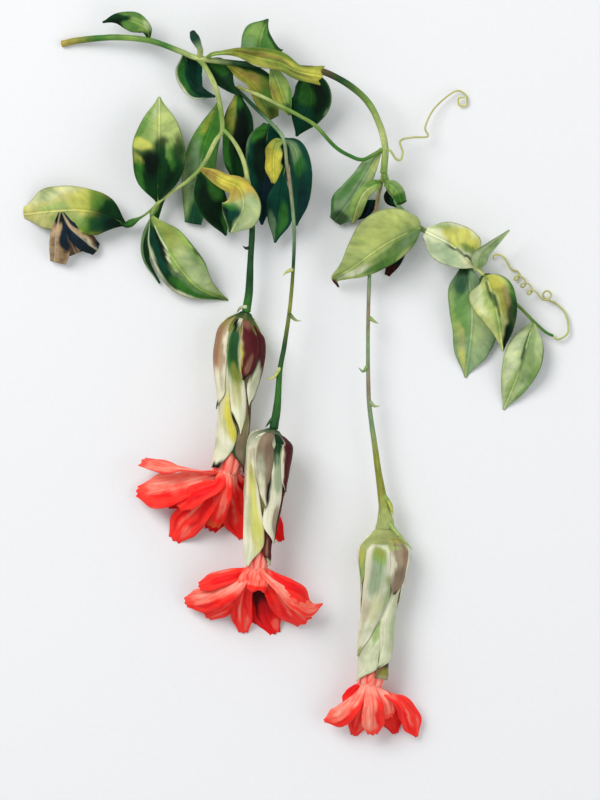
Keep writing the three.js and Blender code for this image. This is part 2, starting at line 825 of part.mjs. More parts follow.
const HEADS = {
  1: {
    axis: [
      [-21.1, 26.1, 10.5],
      [-23.3, 18, 9.8],
      [-23.6, 10.5, 9.6],
      [-25, -4, 9.7],
      [-26.6, -25, 11],
      [-29, -40, 12.6],
    ],
    radii: [2.4, 6.9, 9.5, 10.6, 11, 10.8, 10.1, 9.2, 8.3, 7.8, 7.7, 7.5, 7.3, 7.1, 6.9, 6.8, 6.6],
    bracts: [
      { bearing: 55, reach: 0.42, spread: 42 },
      { bearing: -55, reach: 0.6, spread: 40 },
      { bearing: 0, reach: 0.62, spread: 26 },
      { bearing: 75, reach: 0.8, spread: 48 },
      { bearing: -20, reach: 0.85, spread: 45 },
      { bearing: 45, reach: 1, spread: 48 },
      { bearing: -60, reach: 1, spread: 50 },
    ],
  },
  2: {
    axis: [
      [-9.6, -22.9, 18],
      [-11, -28, 18],
      [-11.5, -33.5, 18],
      [-13.5, -50.5, 18],
      [-16, -69.5, 18],
      [-16.6, -80, 18],
    ],
    radii: [2.6, 8.4, 9.6, 9.6, 9.3, 9.1, 8.9, 8.7, 8.5, 8.2, 7.7, 7.2, 6.8, 6.4, 6, 5.8, 5.6],
    bracts: [
      { bearing: 60, reach: 0.42, spread: 32 },
      { bearing: 20, reach: 0.55, spread: 24 },
      { bearing: -30, reach: 0.62, spread: 34 },
      { bearing: 55, reach: 0.84, spread: 50 },
      { bearing: 80, reach: 0.95, spread: 48 },
      { bearing: -40, reach: 1, spread: 55 },
      { bearing: 20, reach: 1, spread: 50 },
    ],
  },
  3: {
    axis: [
      [37, -64.4, 10.2],
      [36.6, -72.5, 9.2],
      [36, -84, 9.2],
      [34, -103, 9.9],
      [32.5, -117.5, 10.9],
      [31, -129, 11.8],
    ],
    radii: [4, 7.4, 10.4, 10.7, 10.1, 9.3, 8.7, 8.2, 7.9, 7.9, 8, 7.9, 7.7, 7.3, 6.9, 6.7, 6.6],
    bracts: [
      { bearing: 65, reach: 0.4, spread: 38 },
      { bearing: 0, reach: 0.78, spread: 48 },
      { bearing: -80, reach: 0.5, spread: 34 },
      { bearing: 50, reach: 0.84, spread: 48 },
      { bearing: -30, reach: 1, spread: 55 },
      { bearing: 30, reach: 0.97, spread: 50 },
    ],
  },
};

// The bracts on the underside follow one rule for all three heads.
const UNDERSIDE_BRACTS = [
  { bearing: 115, reach: 0.5, spread: 40 },
  { bearing: -115, reach: 0.55, spread: 40 },
  { bearing: 180, reach: 0.62, spread: 44 },
  { bearing: -140, reach: 0.85, spread: 50 },
  { bearing: 150, reach: 1, spread: 60 },
];
const BRACT_ROWS = 4;
const BRACT_COLUMNS = 3;
// The shares of the involucre at which one layer of bracts ends and the next shows.
const BRACT_LAYERS = [0.45, 0.62, 0.85];
// The solid core fills the shoulder, and further down it lies below the bracts.
const SHOULDER_STATIONS = 3;
const CORE_DEPTH = 2.2;
const CORE_SIDES = 8;

// A bract keeps its width down to the middle and then narrows to a point.
const bractWidth = (share) => Math.max((1 - Math.max((share - 0.5) / 0.5, 0) ** 2) ** 0.8, 0.06);

// One overlapping bract: a sector of the involucre, from its axis out to its own layer.
function bract(frames, radii, layers, { bearing, reach, spread }, lift) {
  const count = frames.length - 1;
  const points = [];
  for (let i = 0; i <= BRACT_ROWS; i++) {
    const share = i / BRACT_ROWS;
    const s = 0.06 + (reach - 0.06) * share;
    const { at, side, normal } = frames[Math.round(s * count)];
    const covering = layers.filter((tip) => tip < reach - 0.02 && tip > s + 0.02).length;
    const radius = along(radii, s) - BRACT_LIFT * covering + lift;
    points.push(at.clone());
    for (let j = 0; j <= BRACT_COLUMNS; j++) {
      const across = (2 * j) / BRACT_COLUMNS - 1;
      const angle = radians(bearing + spread * bractWidth(share) * across);
      points.push(
        at
          .clone()
          .addScaledVector(normal, radius * Math.cos(angle))
          .addScaledVector(side, radius * Math.sin(angle)),
      );
    }
  }
  const stride = BRACT_COLUMNS + 2;
  const last = BRACT_ROWS * stride;
  const triangles = [];
  for (let i = 0; i < BRACT_ROWS; i++)
    for (let j = 0; j <= BRACT_COLUMNS + 1; j++) {
      const a = i * stride + j;
      const b = i * stride + ((j + 1) % stride);
      triangles.push([a, a + stride, b + stride], [a, b + stride, b]);
    }
  for (let j = 1; j <= BRACT_COLUMNS; j++) {
    triangles.push([0, j, j + 1]);
    triangles.push([last, last + j + 1, last + j]);
  }
  return toSolid(geometryFrom(points, triangles));
}

function involucre({ axis, radii, bracts }) {
  const frames = framesAlong(curveThrough(axis), 48);
  const all = [...bracts, ...UNDERSIDE_BRACTS];
  const core = stem(axis, radii.map((radius, i) => radius - (i < SHOULDER_STATIONS ? 0.1 : CORE_DEPTH)), {
    sides: CORE_SIDES,
    steps: radii.length - 1,
  });
  return joined([core, ...all.map((one, i) => bract(frames, radii, BRACT_LAYERS, one, (i % 4) * 0.15))]);
}

// Ray florets: each has a route, its greatest half width and the share of it left at the tip. They join in a
// short collar that fits the mouth.
const RAYS = {
  1: [
    {
      rib: [[-33.5, -41, 13.5], [-38, -40.3, 16], [-46, -39, 17.5], [-56, -37.4, 15], [-64.2, -35.8, 11]],
      wide: 4.8,
      tip: 0.7,
    },
    {
      rib: [[-33.3, -41.5, 12], [-41, -43.5, 15], [-50.5, -46.5, 13], [-58, -48, 9], [-66.6, -48.6, 4]],
      wide: 8,
      tip: 0.3,
    },
    {
      rib: [[-32, -41.2, 16], [-34, -45.5, 18.5], [-42, -49, 18.3], [-49.5, -54.5, 14]],
      wide: 5.4,
      tip: 0.5,
    },
    {
      rib: [[-32, -42, 14.5], [-34, -47.5, 15.5], [-41.5, -56.5, 12], [-47, -62.5, 6.5], [-51.5, -69, 0.4]],
      wide: 6.8,
      tip: 0.4,
    },
    {
      rib: [[-29.5, -41.3, 17.2], [-30, -47.5, 18.5], [-33, -56, 14.5], [-34.9, -63.5, 8]],
      wide: 4.6,
      tip: 0.6,
    },
    {
      rib: [[-26.5, -42, 15.5], [-26.8, -48.5, 14.5], [-25.5, -58, 7.5], [-21.8, -68.4, 1]],
      wide: 6.6,
      tip: 0.4,
    },
    { rib: [[-25, -42.5, 12.5], [-20, -50.5, 6], [-12, -60.5, 2.5], [-6.5, -69.5, 0.2]], wide: 5, tip: 0.3 },
    { rib: [[-25, -42.5, 11.5], [-21, -47, 7.5], [-13, -51, 3.5]], wide: 4, tip: 0.4 },
    { rib: [[-33, -41.2, 10], [-41, -50, 5], [-54, -55, 0.3]], wide: 5, tip: 0.4 },
    { rib: [[-29.5, -42, 8.3], [-30, -52, 4], [-36, -65, 0.2]], wide: 5, tip: 0.5 },
  ],
  2: [
    {
      rib: [[-20.2, -81.6, 17.5], [-28, -84, 19], [-34.5, -86, 17.5], [-40.6, -88.4, 14]],
      wide: 3.8,
      tip: 0.5,
    },
    {
      rib: [[-19.4, -81.7, 20], [-26, -88.5, 20], [-33, -92.5, 16], [-40, -94.8, 11], [-46.4, -95.6, 5]],
      wide: 5.6,
      tip: 0.4,
    },
    { rib: [[-19.6, -81.7, 16], [-24, -92, 13], [-31, -98, 8], [-37.5, -101.5, 3]], wide: 4.8, tip: 0.6 },
    {
      rib: [[-18.5, -81.9, 17], [-22, -91, 15.5], [-23.2, -99.5, 9], [-22.4, -108, 1]],
      wide: 4.6,
      tip: 0.45,
    },
    { rib: [[-16, -82, 14.8], [-15, -93.5, 8.5], [-12.5, -102, 4], [-9.2, -108.3, 0.4]], wide: 6, tip: 0.4 },
    {
      rib: [[-16.9, -81.8, 21.3], [-17.5, -84, 22.2], [-18.2, -86.8, 22.4], [-18.6, -89.6, 21.4]],
      wide: 6.6,
      tip: 0.9,
    },
    { rib: [[-14, -82, 19], [-8, -91.5, 17], [-2, -99, 11], [3.2, -104, 4]], wide: 6.4, tip: 0.6 },
    {
      rib: [[-13.2, -82, 17.5], [-4, -88.5, 20], [1.5, -91.5, 17.5], [5.3, -96.5, 13]],
      wide: 4.6,
      tip: 0.4,
    },
    {
      rib: [[-14.2, -81.9, 20.7], [-8, -88, 22.5], [0, -95, 18], [6, -98.3, 13], [10.8, -96, 10]],
      wide: 3.6,
      tip: 0.12,
    },
    { rib: [[-16.7, -81.8, 14.4], [-17.5, -92, 4], [-17, -104, 0.2]], wide: 5.4, tip: 0.5 },
  ],
  3: [
    { rib: [[26.4, -130.4, 10], [23, -134, 9.5], [20.4, -138.4, 7]], wide: 3, tip: 0.4 },
    {
      rib: [[27.8, -130.2, 15], [24, -137.5, 15.5], [18, -143.3, 11.5], [11.8, -145.1, 7]],
      wide: 4.6,
      tip: 0.15,
    },
    { rib: [[28.3, -130.8, 10], [27.5, -139, 8.5], [24.3, -151.2, 0.4]], wide: 4.2, tip: 0.35 },
    {
      rib: [[31, -130.6, 16.3], [32.2, -138, 17.5], [32.2, -144.5, 14], [32, -150.5, 9]],
      wide: 5,
      tip: 0.45,
    },
    { rib: [[33.6, -130.9, 15.2], [37, -137, 15], [37.8, -143.6, 11.5]], wide: 4.6, tip: 0.6 },
    { rib: [[34, -131.5, 9], [38, -140, 6], [41.4, -150.4, 0.4]], wide: 4.2, tip: 0.3 },
    { rib: [[35.2, -131.4, 12.5], [43, -136, 13.5], [48, -143, 9], [50.6, -151.6, 3]], wide: 5, tip: 0.15 },
    { rib: [[31, -131.1, 7.5], [31, -141, 3.5], [33, -149.5, 0.2]], wide: 5, tip: 0.4 },
  ],
};
const RAY_PROFILE = [0.3, 0.52, 0.78, 0.94, 1, 0.96];
const COLLAR_SIDES = 8;
const COLLAR_LENGTH = 3.6;
const COLLAR_WALL = 1;

// A short open tube from the mouth of the involucre, which the ray florets grow from.
function collar(axis, outer) {
  const mouth = vector(axis.at(-1));
  const ahead = mouth.clone().sub(vector(axis.at(-2))).normalize();
  const place = (distance) => mouth.clone().addScaledVector(ahead, distance).toArray();
  const route = [place(SEAT_GAP), place(COLLAR_LENGTH / 2), place(COLLAR_LENGTH)];
  const bore = [place(SEAT_GAP - 1), place(COLLAR_LENGTH / 2), place(COLLAR_LENGTH + 6)];
  const options = { sides: COLLAR_SIDES, steps: 2 };
  return {
    outside: stem(route, [outer, outer, outer + 0.5], options),
    inside: stem(bore, [outer - COLLAR_WALL, outer - COLLAR_WALL, outer - COLLAR_WALL], options),
  };
}

// Disc florets: slim tubes standing in the collar.
const DISC_COUNT = 6;
const DISC_REACH = 9;
function discFlorets(axis) {
  const mouth = vector(axis.at(-1));
  const [{ ahead, side, normal }] = framesAlong(curveThrough([axis.at(-2), axis.at(-1)]), 1);
  const place = (distance, bearing, spread) =>
    mouth
      .clone()
      .addScaledVector(ahead, distance)
      .addScaledVector(side, spread * Math.cos(bearing))
      .addScaledVector(normal, spread * Math.sin(bearing))
      .toArray();
  const foot = stem([place(SEAT_GAP, 0, 0), place(2.5, 0, 0)], [2.6, 2.2], { sides: 8, steps: 1 });
  const florets = [foot];
  for (let i = 0; i < DISC_COUNT; i++) {
    const bearing = (2 * Math.PI * i) / DISC_COUNT;
    const height = DISC_REACH * (0.8 + 0.2 * Math.sin(2.4 * i));
    const route = [place(1.2, bearing, 1.1), place(height * 0.6, bearing, 1.6), place(height, bearing, 2.1)];
    florets.push(stem(route, [0.6, 0.5, 0.65], { sides: 4, steps: 2 }));
  }
  return joined(florets);
}

for (const [number, head] of Object.entries(HEADS)) {
  addPiece("involucre_" + number, involucre(head), INVOLUCRE_CREAM, 0.75);
  const mouthRadius = head.radii.at(-1) - 1.6;
  const { outside, inside } = collar(head.axis, mouthRadius);
  const rays = RAYS[number].map(({ rib, wide, tip }) =>
    blade({
      rib,
      left: [...RAY_PROFILE, tip].map((share) => share * wide),
      fold: [-10, -10],
      rows: 5,
      columns: 1,
      thickness: PETAL_THICKNESS,
    }),
  );
  addPiece("rays_" + number, joined([outside, ...rays]).subtract(inside), PETAL_RED, 0.5);
  addPiece("disc_" + number, discFlorets(head.axis), DISC_ORANGE, 0.6);
}

export default sprig;
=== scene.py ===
"""The finished look of a cut sprig of mutisia clematis that lies on a surface.

The tables hold millimetres in the part's own frame: +X to the right, +Y to the top of the sprig, +Z up from
the surface. Blades run from base to tip, and a plus across is on the left of that direction.
"""

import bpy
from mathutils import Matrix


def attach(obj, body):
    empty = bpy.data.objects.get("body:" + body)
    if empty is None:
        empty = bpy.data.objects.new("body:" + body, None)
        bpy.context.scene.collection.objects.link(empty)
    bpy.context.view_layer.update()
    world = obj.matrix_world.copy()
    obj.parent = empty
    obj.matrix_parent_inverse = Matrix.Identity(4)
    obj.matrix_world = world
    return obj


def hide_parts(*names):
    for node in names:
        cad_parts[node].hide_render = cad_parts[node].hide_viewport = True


bl_info = {
    "name": "Mutisia clematis sprig",
    "version": (1, 0, 0),
    "blender": (4, 5, 0),
    "location": "View3D > Sidebar > Sprig",
    "description": "Builds a cut sprig of mutisia clematis: stems, tendrils, leaflets and red flower heads",
    "category": "Add Mesh",
}

import bpy
import numpy as np

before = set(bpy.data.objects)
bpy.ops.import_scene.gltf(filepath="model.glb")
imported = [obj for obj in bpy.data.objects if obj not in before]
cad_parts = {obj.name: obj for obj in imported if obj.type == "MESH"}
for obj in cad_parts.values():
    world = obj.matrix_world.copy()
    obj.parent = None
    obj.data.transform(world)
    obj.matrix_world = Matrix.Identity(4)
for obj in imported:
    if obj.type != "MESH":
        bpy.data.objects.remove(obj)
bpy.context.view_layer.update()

MM = 0.001
BODY = "root"

# Least height of any point over the surface, least half width of a blade and least radius of a stem

FLOOR_GAP = 0.02
LEAST_HALF_WIDTH = 0.12
LEAST_RADIUS = 0.08

# How far the two ends of a stem bulge, as shares of its radius

START_DOME = 0.25
END_DOME = 0.4

# Faces across half a blade

BLADE_COLUMNS = 10

# A leaflet's midrib: radii along it, how deep it lies under the blade and how far along it reaches

MIDRIB_RADII = [0.6, 0.5, 0.35, 0.15]
MIDRIB_DEPTH = 0.3
MIDRIB_REACH = 0.93

# How far back a side vein starts for each millimetre that it runs outward

VEIN_SLANT = 0.75

# Colours: the plant's own, and some of them also used in the tables below as painted light and shade

COLOURS = {
    "pale": "#ACB672", "mid": "#557F3C", "light": "#88A458", "dark": "#0A3014", "black": "#041209",
    "teal": "#0A3D2F", "sage": "#7E9A70", "reed": "#A2B37F", "frost": "#CDD2AE", "yellow": "#D2C94C",
    "olive": "#8D8F3A", "ochre": "#B39B45", "brown": "#7A5A3A", "tan": "#C0A37A", "navy": "#0F2430",
    "stem": "#7C9A48", "stem_dark": "#17441F", "stem_pale": "#B9C27C", "straw": "#B9B678",
    "cream": "#E2DFC2", "grey": "#B4B9A0", "taupe": "#8B7862", "beige": "#B7AA8A", "rose": "#A97E62",
    "maroon": "#54191D", "leek": "#367026", "lime": "#C6C45A", "salmon": "#FF8570", "blush": "#FFA994",
    "red": "#FF382E", "deep": "#EA181C", "throat": "#4A0A12", "orange": "#E65A28",
}


def linear(name):
    """A named colour as linear red, green and blue."""
    code = COLOURS[name].lstrip("#")
    value = np.array([int(code[i:i + 2], 16) for i in (0, 2, 4)]) / 255
    return np.where(value <= 0.04045, value / 12.92, ((value + 0.055) / 1.055) ** 2.4)


def mm(length):
    """A length in millimetres."""
    return length / MM


# Curves and grids


def along(values, t):
    """A smooth value at each t, from 0 to 1, out of values given at even steps."""
    values = np.asarray(values, float)
    t = np.asarray(t, float)
    last = len(values) - 1
    if last == 0:
        return np.full(t.shape, values[0])
    i = np.minimum((t * last).astype(int), last - 1)
    f = t * last - i
    a, b = values[np.maximum(i - 1, 0)], values[i]
    c, d = values[i + 1], values[np.minimum(i + 2, last)]
    return b + 0.5 * f * (c - a + f * (2 * a - 5 * b + 4 * c - d + f * (3 * (b - c) + d - a)))


def unit(rows):
    """Each row as a vector of length 1."""
    return rows / np.maximum(np.linalg.norm(rows, axis=-1, keepdims=True), 1e-9)


def route(points, count):
    """Even places on the smooth curve through the points, with direction, side, normal and length so far."""
    p = np.array(points, float)
    ghost = np.vstack([2 * p[0] - p[1], p, 2 * p[-1] - p[-2]])
    fine = np.linspace(0, len(p) - 1, 60 * (len(p) - 1) + 1)
    i = np.minimum(fine.astype(int), len(p) - 2)
    f = (fine - i)[:, None]
    a, b, c, d = (ghost[i + k] for k in range(4))
    start, end = 0.5 * (c - a), 0.5 * (d - b)
    place = b + f * start + f ** 2 * (3 * (c - b) - 2 * start - end) + f ** 3 * (2 * (b - c) + start + end)
    length = np.concatenate([[0], np.cumsum(np.linalg.norm(np.diff(place, axis=0), axis=1))])
    want = np.linspace(0, length[-1], count + 1)
    at = np.column_stack([np.interp(want, length, place[:, k]) for k in range(3)])
    slope = np.gradient(place, axis=0)
    ahead = unit(np.column_stack([np.interp(want, length, slope[:, k]) for k in range(3)]))
    side = np.zeros_like(at)
    side[0] = unit(np.cross([0, 0, 1], ahead[0]))
    for k in range(1, count + 1):
        side[k] = unit(side[k - 1] - side[k - 1].dot(ahead[k]) * ahead[k])
    return at, ahead, side, np.cross(ahead, side), want


def smooth(value, low, high):
    """0 at low, 1 at high and an even ease between them."""
    x = np.clip((value - low) / (high - low), 0, 1)
    return x * x * (3 - 2 * x)


def ripple(x, y, seed):
    """A soft random wave of x and y, between about -1 and 1, the same for the same seed."""
    draw = np.random.default_rng(seed)
    total = 0
    for size in (1.0, 1.9, 3.1):
        turn, phase_x, phase_y = draw.uniform(0, 6.28, 3)
        total = total + np.sin(size * (x * np.cos(turn) + y * np.sin(turn)) + phase_x) * np.cos(
            size * (y * np.cos(turn) - x * np.sin(turn)) + phase_y) / size
    return total / 1.6


def raise_to_floor(points):
    """Lifts what would sink into the surface."""
    points[..., 2] = np.maximum(points[..., 2], FLOOR_GAP)


class Shape:
    """Faces in millimetres with a colour, and a place on the blade, at each point."""

    def __init__(self):
        self.points, self.faces, self.paint, self.blade = [], [], [], []
        self.count = 0

    def add(self, points, faces, paint, blade):
        points = points.reshape(-1, 3)
        raise_to_floor(points)
        self.points.append(points)
        self.faces.extend(tuple(k + self.count for k in face) for face in faces)
        self.paint.append(paint.reshape(-1, 3))
        self.blade.append(blade.reshape(-1, 3))
        self.count += len(points)

    def to_piece(self, node, material, name=None):
        """Makes the piece that stands for the node."""
        name = name or node + "_finish"
        mesh = bpy.data.meshes.new(name)
        mesh.from_pydata((np.vstack(self.points) * MM).tolist(), [], self.faces)
        if mesh.validate():
            raise RuntimeError(name + " has a faulty face")
        rgb = np.clip(np.vstack(self.paint), 0, 1)
        paint = np.column_stack([rgb, np.ones(len(rgb))]).astype(np.float32)
        mesh.attributes.new("paint", "FLOAT_COLOR", "POINT").data.foreach_set("color", paint.ravel())
        blade = np.vstack(self.blade).astype(np.float32)
        mesh.attributes.new("blade", "FLOAT_VECTOR", "POINT").data.foreach_set("vector", blade.ravel())
        mesh.shade_smooth()
        mesh.materials.append(material)
        piece = bpy.data.objects.new(name, mesh)
        bpy.context.scene.collection.objects.link(piece)
        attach(piece, BODY)
        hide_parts(node)


def grid_faces(rows, columns, flip=False):
    """The faces of a grid of points, seen from the other side where flip is set."""
    faces = []
    for i in range(rows):
        for j in range(columns):
            a = i * (columns + 1) + j
            quad = (a, a + columns + 1, a + columns + 2, a + 1)
            faces.append(quad[::-1] if flip else quad)
    return faces


def ring_faces(rings, sides):
    """The faces along rings of points, closed to two middle points that come after the rings."""
    faces = []
    for i in range(rings - 1):
        for k in range(sides):
            a, b = i * sides + k, i * sides + (k + 1) % sides
            faces.append((a, b, b + sides, a + sides))
    first, end = rings * sides, (rings - 1) * sides
    for k in range(sides):
        faces.append((first, (k + 1) % sides, k))
        faces.append((first + 1, end + k, end + (k + 1) % sides))
    return faces


def painted(base, patches, t, u):
    """The colour at each t along and u across: the base with soft patches over it.

    A patch is (colour, t, u, reach along, reach across, strength)."""
    colour = np.broadcast_to(linear(base), t.shape + (3,)).copy()
    for name, at_t, at_u, reach_t, reach_u, strength in patches:
        away = np.sqrt(((t - at_t) / reach_t) ** 2 + ((u - at_u) / reach_u) ** 2)
        share = (strength * (1 - smooth(away, 0.6, 1.12)))[..., None]
        colour += share * (linear(name) - colour)
    return colour


def loosened(t, u, seed):
    """t and u pushed about softly, so that a patch gets an uneven outline."""
    return t + 0.05 * ripple(t * 11, u * 2.6, seed), u + 0.2 * ripple(t * 8, u * 2.6, seed + 1)


def toned(paint, amount, place, scale_across, scale_along, seed):
    """The paint with soft lighter and darker tones over the blade."""
    wave = ripple(place[..., 0] * scale_across, place[..., 1] * scale_along, seed)
    return paint * (1 + amount * wave[..., None])


def sheet(shape, middle, thickness, paint, blade, under=None):
    """Adds a closed thin sheet round a grid of points. thickness has one value a point."""
    down = np.gradient(middle, axis=0)
    over = np.gradient(middle, axis=1)
    normal = unit(np.cross(down, over))
    half = (thickness / 2)[..., None]
    middle = middle.copy()
    middle[..., 2] = np.maximum(middle[..., 2], half[..., 0])
    rows, columns = middle.shape[0] - 1, middle.shape[1] - 1
    top, bottom = middle + normal * half, middle - normal * half
    points = np.concatenate([top.reshape(-1, 3), bottom.reshape(-1, 3)])
    size = (rows + 1) * (columns + 1)
    faces = grid_faces(rows, columns)
    faces += [tuple(k + size for k in face) for face in grid_faces(rows, columns, True)]
    edge = [(0, j) for j in range(columns)] + [(i, columns) for i in range(rows)]
    edge += [(rows, j) for j in range(columns, 0, -1)] + [(i, 0) for i in range(rows, 0, -1)]
    ring = [i * (columns + 1) + j for i, j in edge]
    for a, b in zip(ring, ring[1:] + ring[:1]):
        faces.append((a, b, b + size, a + size))
    both = np.concatenate([paint.reshape(-1, 3), (paint if under is None else under).reshape(-1, 3)])
    shape.add(points, faces, both, np.concatenate([blade.reshape(-1, 3)] * 2))


def half_section(fold, curl, u):
    """How far out and up a half blade reaches at u, for a width of 1."""
    if abs(curl) < 1e-3:
        return u * np.cos(fold), u * np.sin(fold)
    end = fold + curl * u
    return (np.sin(end) - np.sin(fold)) / curl, (np.cos(fold) - np.cos(end)) / curl


def blade_grid(spec, step, relief_of, seed):
    """The middle surface of a leaflet or petal, with t, u and (across, along, half width) at each point.

    relief_of(u, width, t, length) gives how far the surface stands out from the plain blade."""
    rib = spec["rib"]
    rows = max(int(route(rib, 4)[4][-1] / step), 12)
    at, ahead, side, normal, length = route(rib, rows)
    t = np.linspace(0, 1, rows + 1)
    left = along(spec["left"], t)
    right = along(spec.get("right", spec["left"]), t)
    turn = np.radians(along(spec.get("turn", [0]), t))[:, None]
    across = side * np.cos(turn) + normal * np.sin(turn)
    up = normal * np.cos(turn) - side * np.sin(turn)
    u = np.linspace(-1, 1, 2 * BLADE_COLUMNS + 1)
    fold, curl = spec.get("fold", [0, 0]), spec.get("curl", [0, 0])
    wave, waves, teeth = spec.get("wave", 0), spec.get("waves", 2.5), spec.get("teeth", 0)
    middle = np.zeros((rows + 1, len(u), 3))
    place = np.zeros_like(middle)
    for j, value in enumerate(u):
        k = 1 if value < 0 else 0
        width = np.maximum((right if k else left), LEAST_HALF_WIDTH)
        out, lift = half_section(np.radians(fold[k]), np.radians(curl[k]), abs(value))
        swell = wave * value ** 2 * np.sin(2 * np.pi * (waves * t + 0.3 * k)) * np.sin(np.pi * t)
        crimp = ripple(t * length[-1] * 0.28, np.full(t.shape, 3.0 * value), seed) * np.sin(np.pi * t)
        crimp *= 0.45 * value ** 4 * min(1, width.max() / 6)
        height = width * lift + swell + crimp + relief_of(value, width, t, length)
        tooth = teeth * (0.5 + 0.5 * np.cos(2 * np.pi * value)) * smooth(t, 0.88, 1)
        middle[:, j] = at + across * (width * out * np.sign(value))[:, None] + up * height[:, None]
        middle[:, j] += ahead * tooth[:, None]
        place[:, j] = np.column_stack([value * width, length, width])
    tt, uu = np.meshgrid(t, u, indexing="ij")
    return middle, tt, uu, place


def leaf_relief(depth, spacing):
    """A grooved midrib, slanted side veins and soft cushions between them."""

    def relief_of(u, width, t, length):
        s = abs(u) * width
        phase = (length - VEIN_SLANT * s) / spacing
        vein = np.exp(-((phase - np.round(phase)) * spacing / 0.5) ** 2) * smooth(s, 0.3, 1.2)
        vein *= 1 - smooth(abs(u), 0.7, 1)
        groove = 2.2 * np.exp(-(s / 0.55) ** 2) * (1 - smooth(t, 0.85, 1))
        return -depth * (0.6 * vein + groove)

    return relief_of


def petal_relief(depth):
    """Lengthwise grooves that fade out before the tip."""

    def relief_of(u, width, t, length):
        groove = np.exp(-(u / 0.13) ** 2) + 0.7 * np.exp(-((abs(u) - 0.52) / 0.13) ** 2)
        return -depth * groove * smooth(width, 1.0, 3.0) * (1 - smooth(t, 0.8, 0.98))

    return relief_of


def leaf_blade(shape, spec, settings, seed):
    """Adds a leaflet's blade and the round midrib that stands out below it."""
    relief_of = leaf_relief(mm(settings.relief), mm(settings.vein_spacing))
    middle, t, u, place = blade_grid(spec, mm(settings.step), relief_of, seed)
    paint = painted(spec["base"], spec["patches"], *loosened(t, u, seed + 60))
    paint = toned(paint, 0.2, place, 0.3, 0.25, seed + 40)
    under = 0.55 * paint + 0.45 * linear("sage")
    thickness = mm(settings.thickness) * (1 - 0.55 * np.abs(u) ** 3)
    sheet(shape, middle, thickness, paint, place, under)
    midrib = middle[:, BLADE_COLUMNS].copy()
    midrib[:, 2] -= MIDRIB_DEPTH
    picked = np.linspace(0, int(MIDRIB_REACH * (len(midrib) - 1)), 9).astype(int)
    tube(shape, midrib[picked], MIDRIB_RADII, 8, 1.5, stops("stem", "light", "light"))


def stops(*names):
    """A colour for t along and a turn round a stem, from colours at even steps, with soft uneven tones."""
    table = np.array([linear(name) for name in names])

    def paint_of(t, turn):
        steps = np.linspace(0, 1, len(table))
        colour = np.stack([np.interp(t, steps, table[:, k]) for k in range(3)], axis=-1)
        return colour * (1 + 0.18 * ripple(t * 25, 1.5 * np.cos(turn), len(names)))[..., None]

    return paint_of


def tube(shape, points, radii, sides, step, paint_of, rough=0.0, seed=0):
    """Adds a round stem along the points, with domed ends.

    paint_of gives a colour for t along and a turn round the stem."""
    count = max(int(route(points, 8)[4][-1] / step), 4)
    at, ahead, side, normal, length = route(points, count)
    t = np.linspace(0, 1, count + 1)
    radius = np.maximum(along(radii, t), LEAST_RADIUS)
    angle = 2 * np.pi * np.arange(sides) / sides
    tt, aa = np.meshgrid(t, angle, indexing="ij")
    r = radius[:, None] * (1 + rough * ripple(length[:, None] * 0.35 + 0 * aa, 1.3 * np.cos(aa), seed))
    out = side[:, None] * (r * np.cos(aa))[..., None]
    ring = at[:, None] + out + normal[:, None] * (r * np.sin(aa))[..., None]
    paint = paint_of(tt, aa)
    place = np.stack([r * np.sin(aa), np.broadcast_to(length[:, None], aa.shape), r], axis=-1)
    ends = [at[0] - START_DOME * radius[0] * ahead[0], at[-1] + END_DOME * radius[-1] * ahead[-1]]
    shape.add(np.vstack([ring.reshape(-1, 3), ends]), ring_faces(count + 1, sides),
              np.vstack([paint.reshape(-1, 3), paint[0].mean(0), paint[-1].mean(0)]),
              np.vstack([place.reshape(-1, 3), place[0, 0], place[-1, 0]]))


# Materials


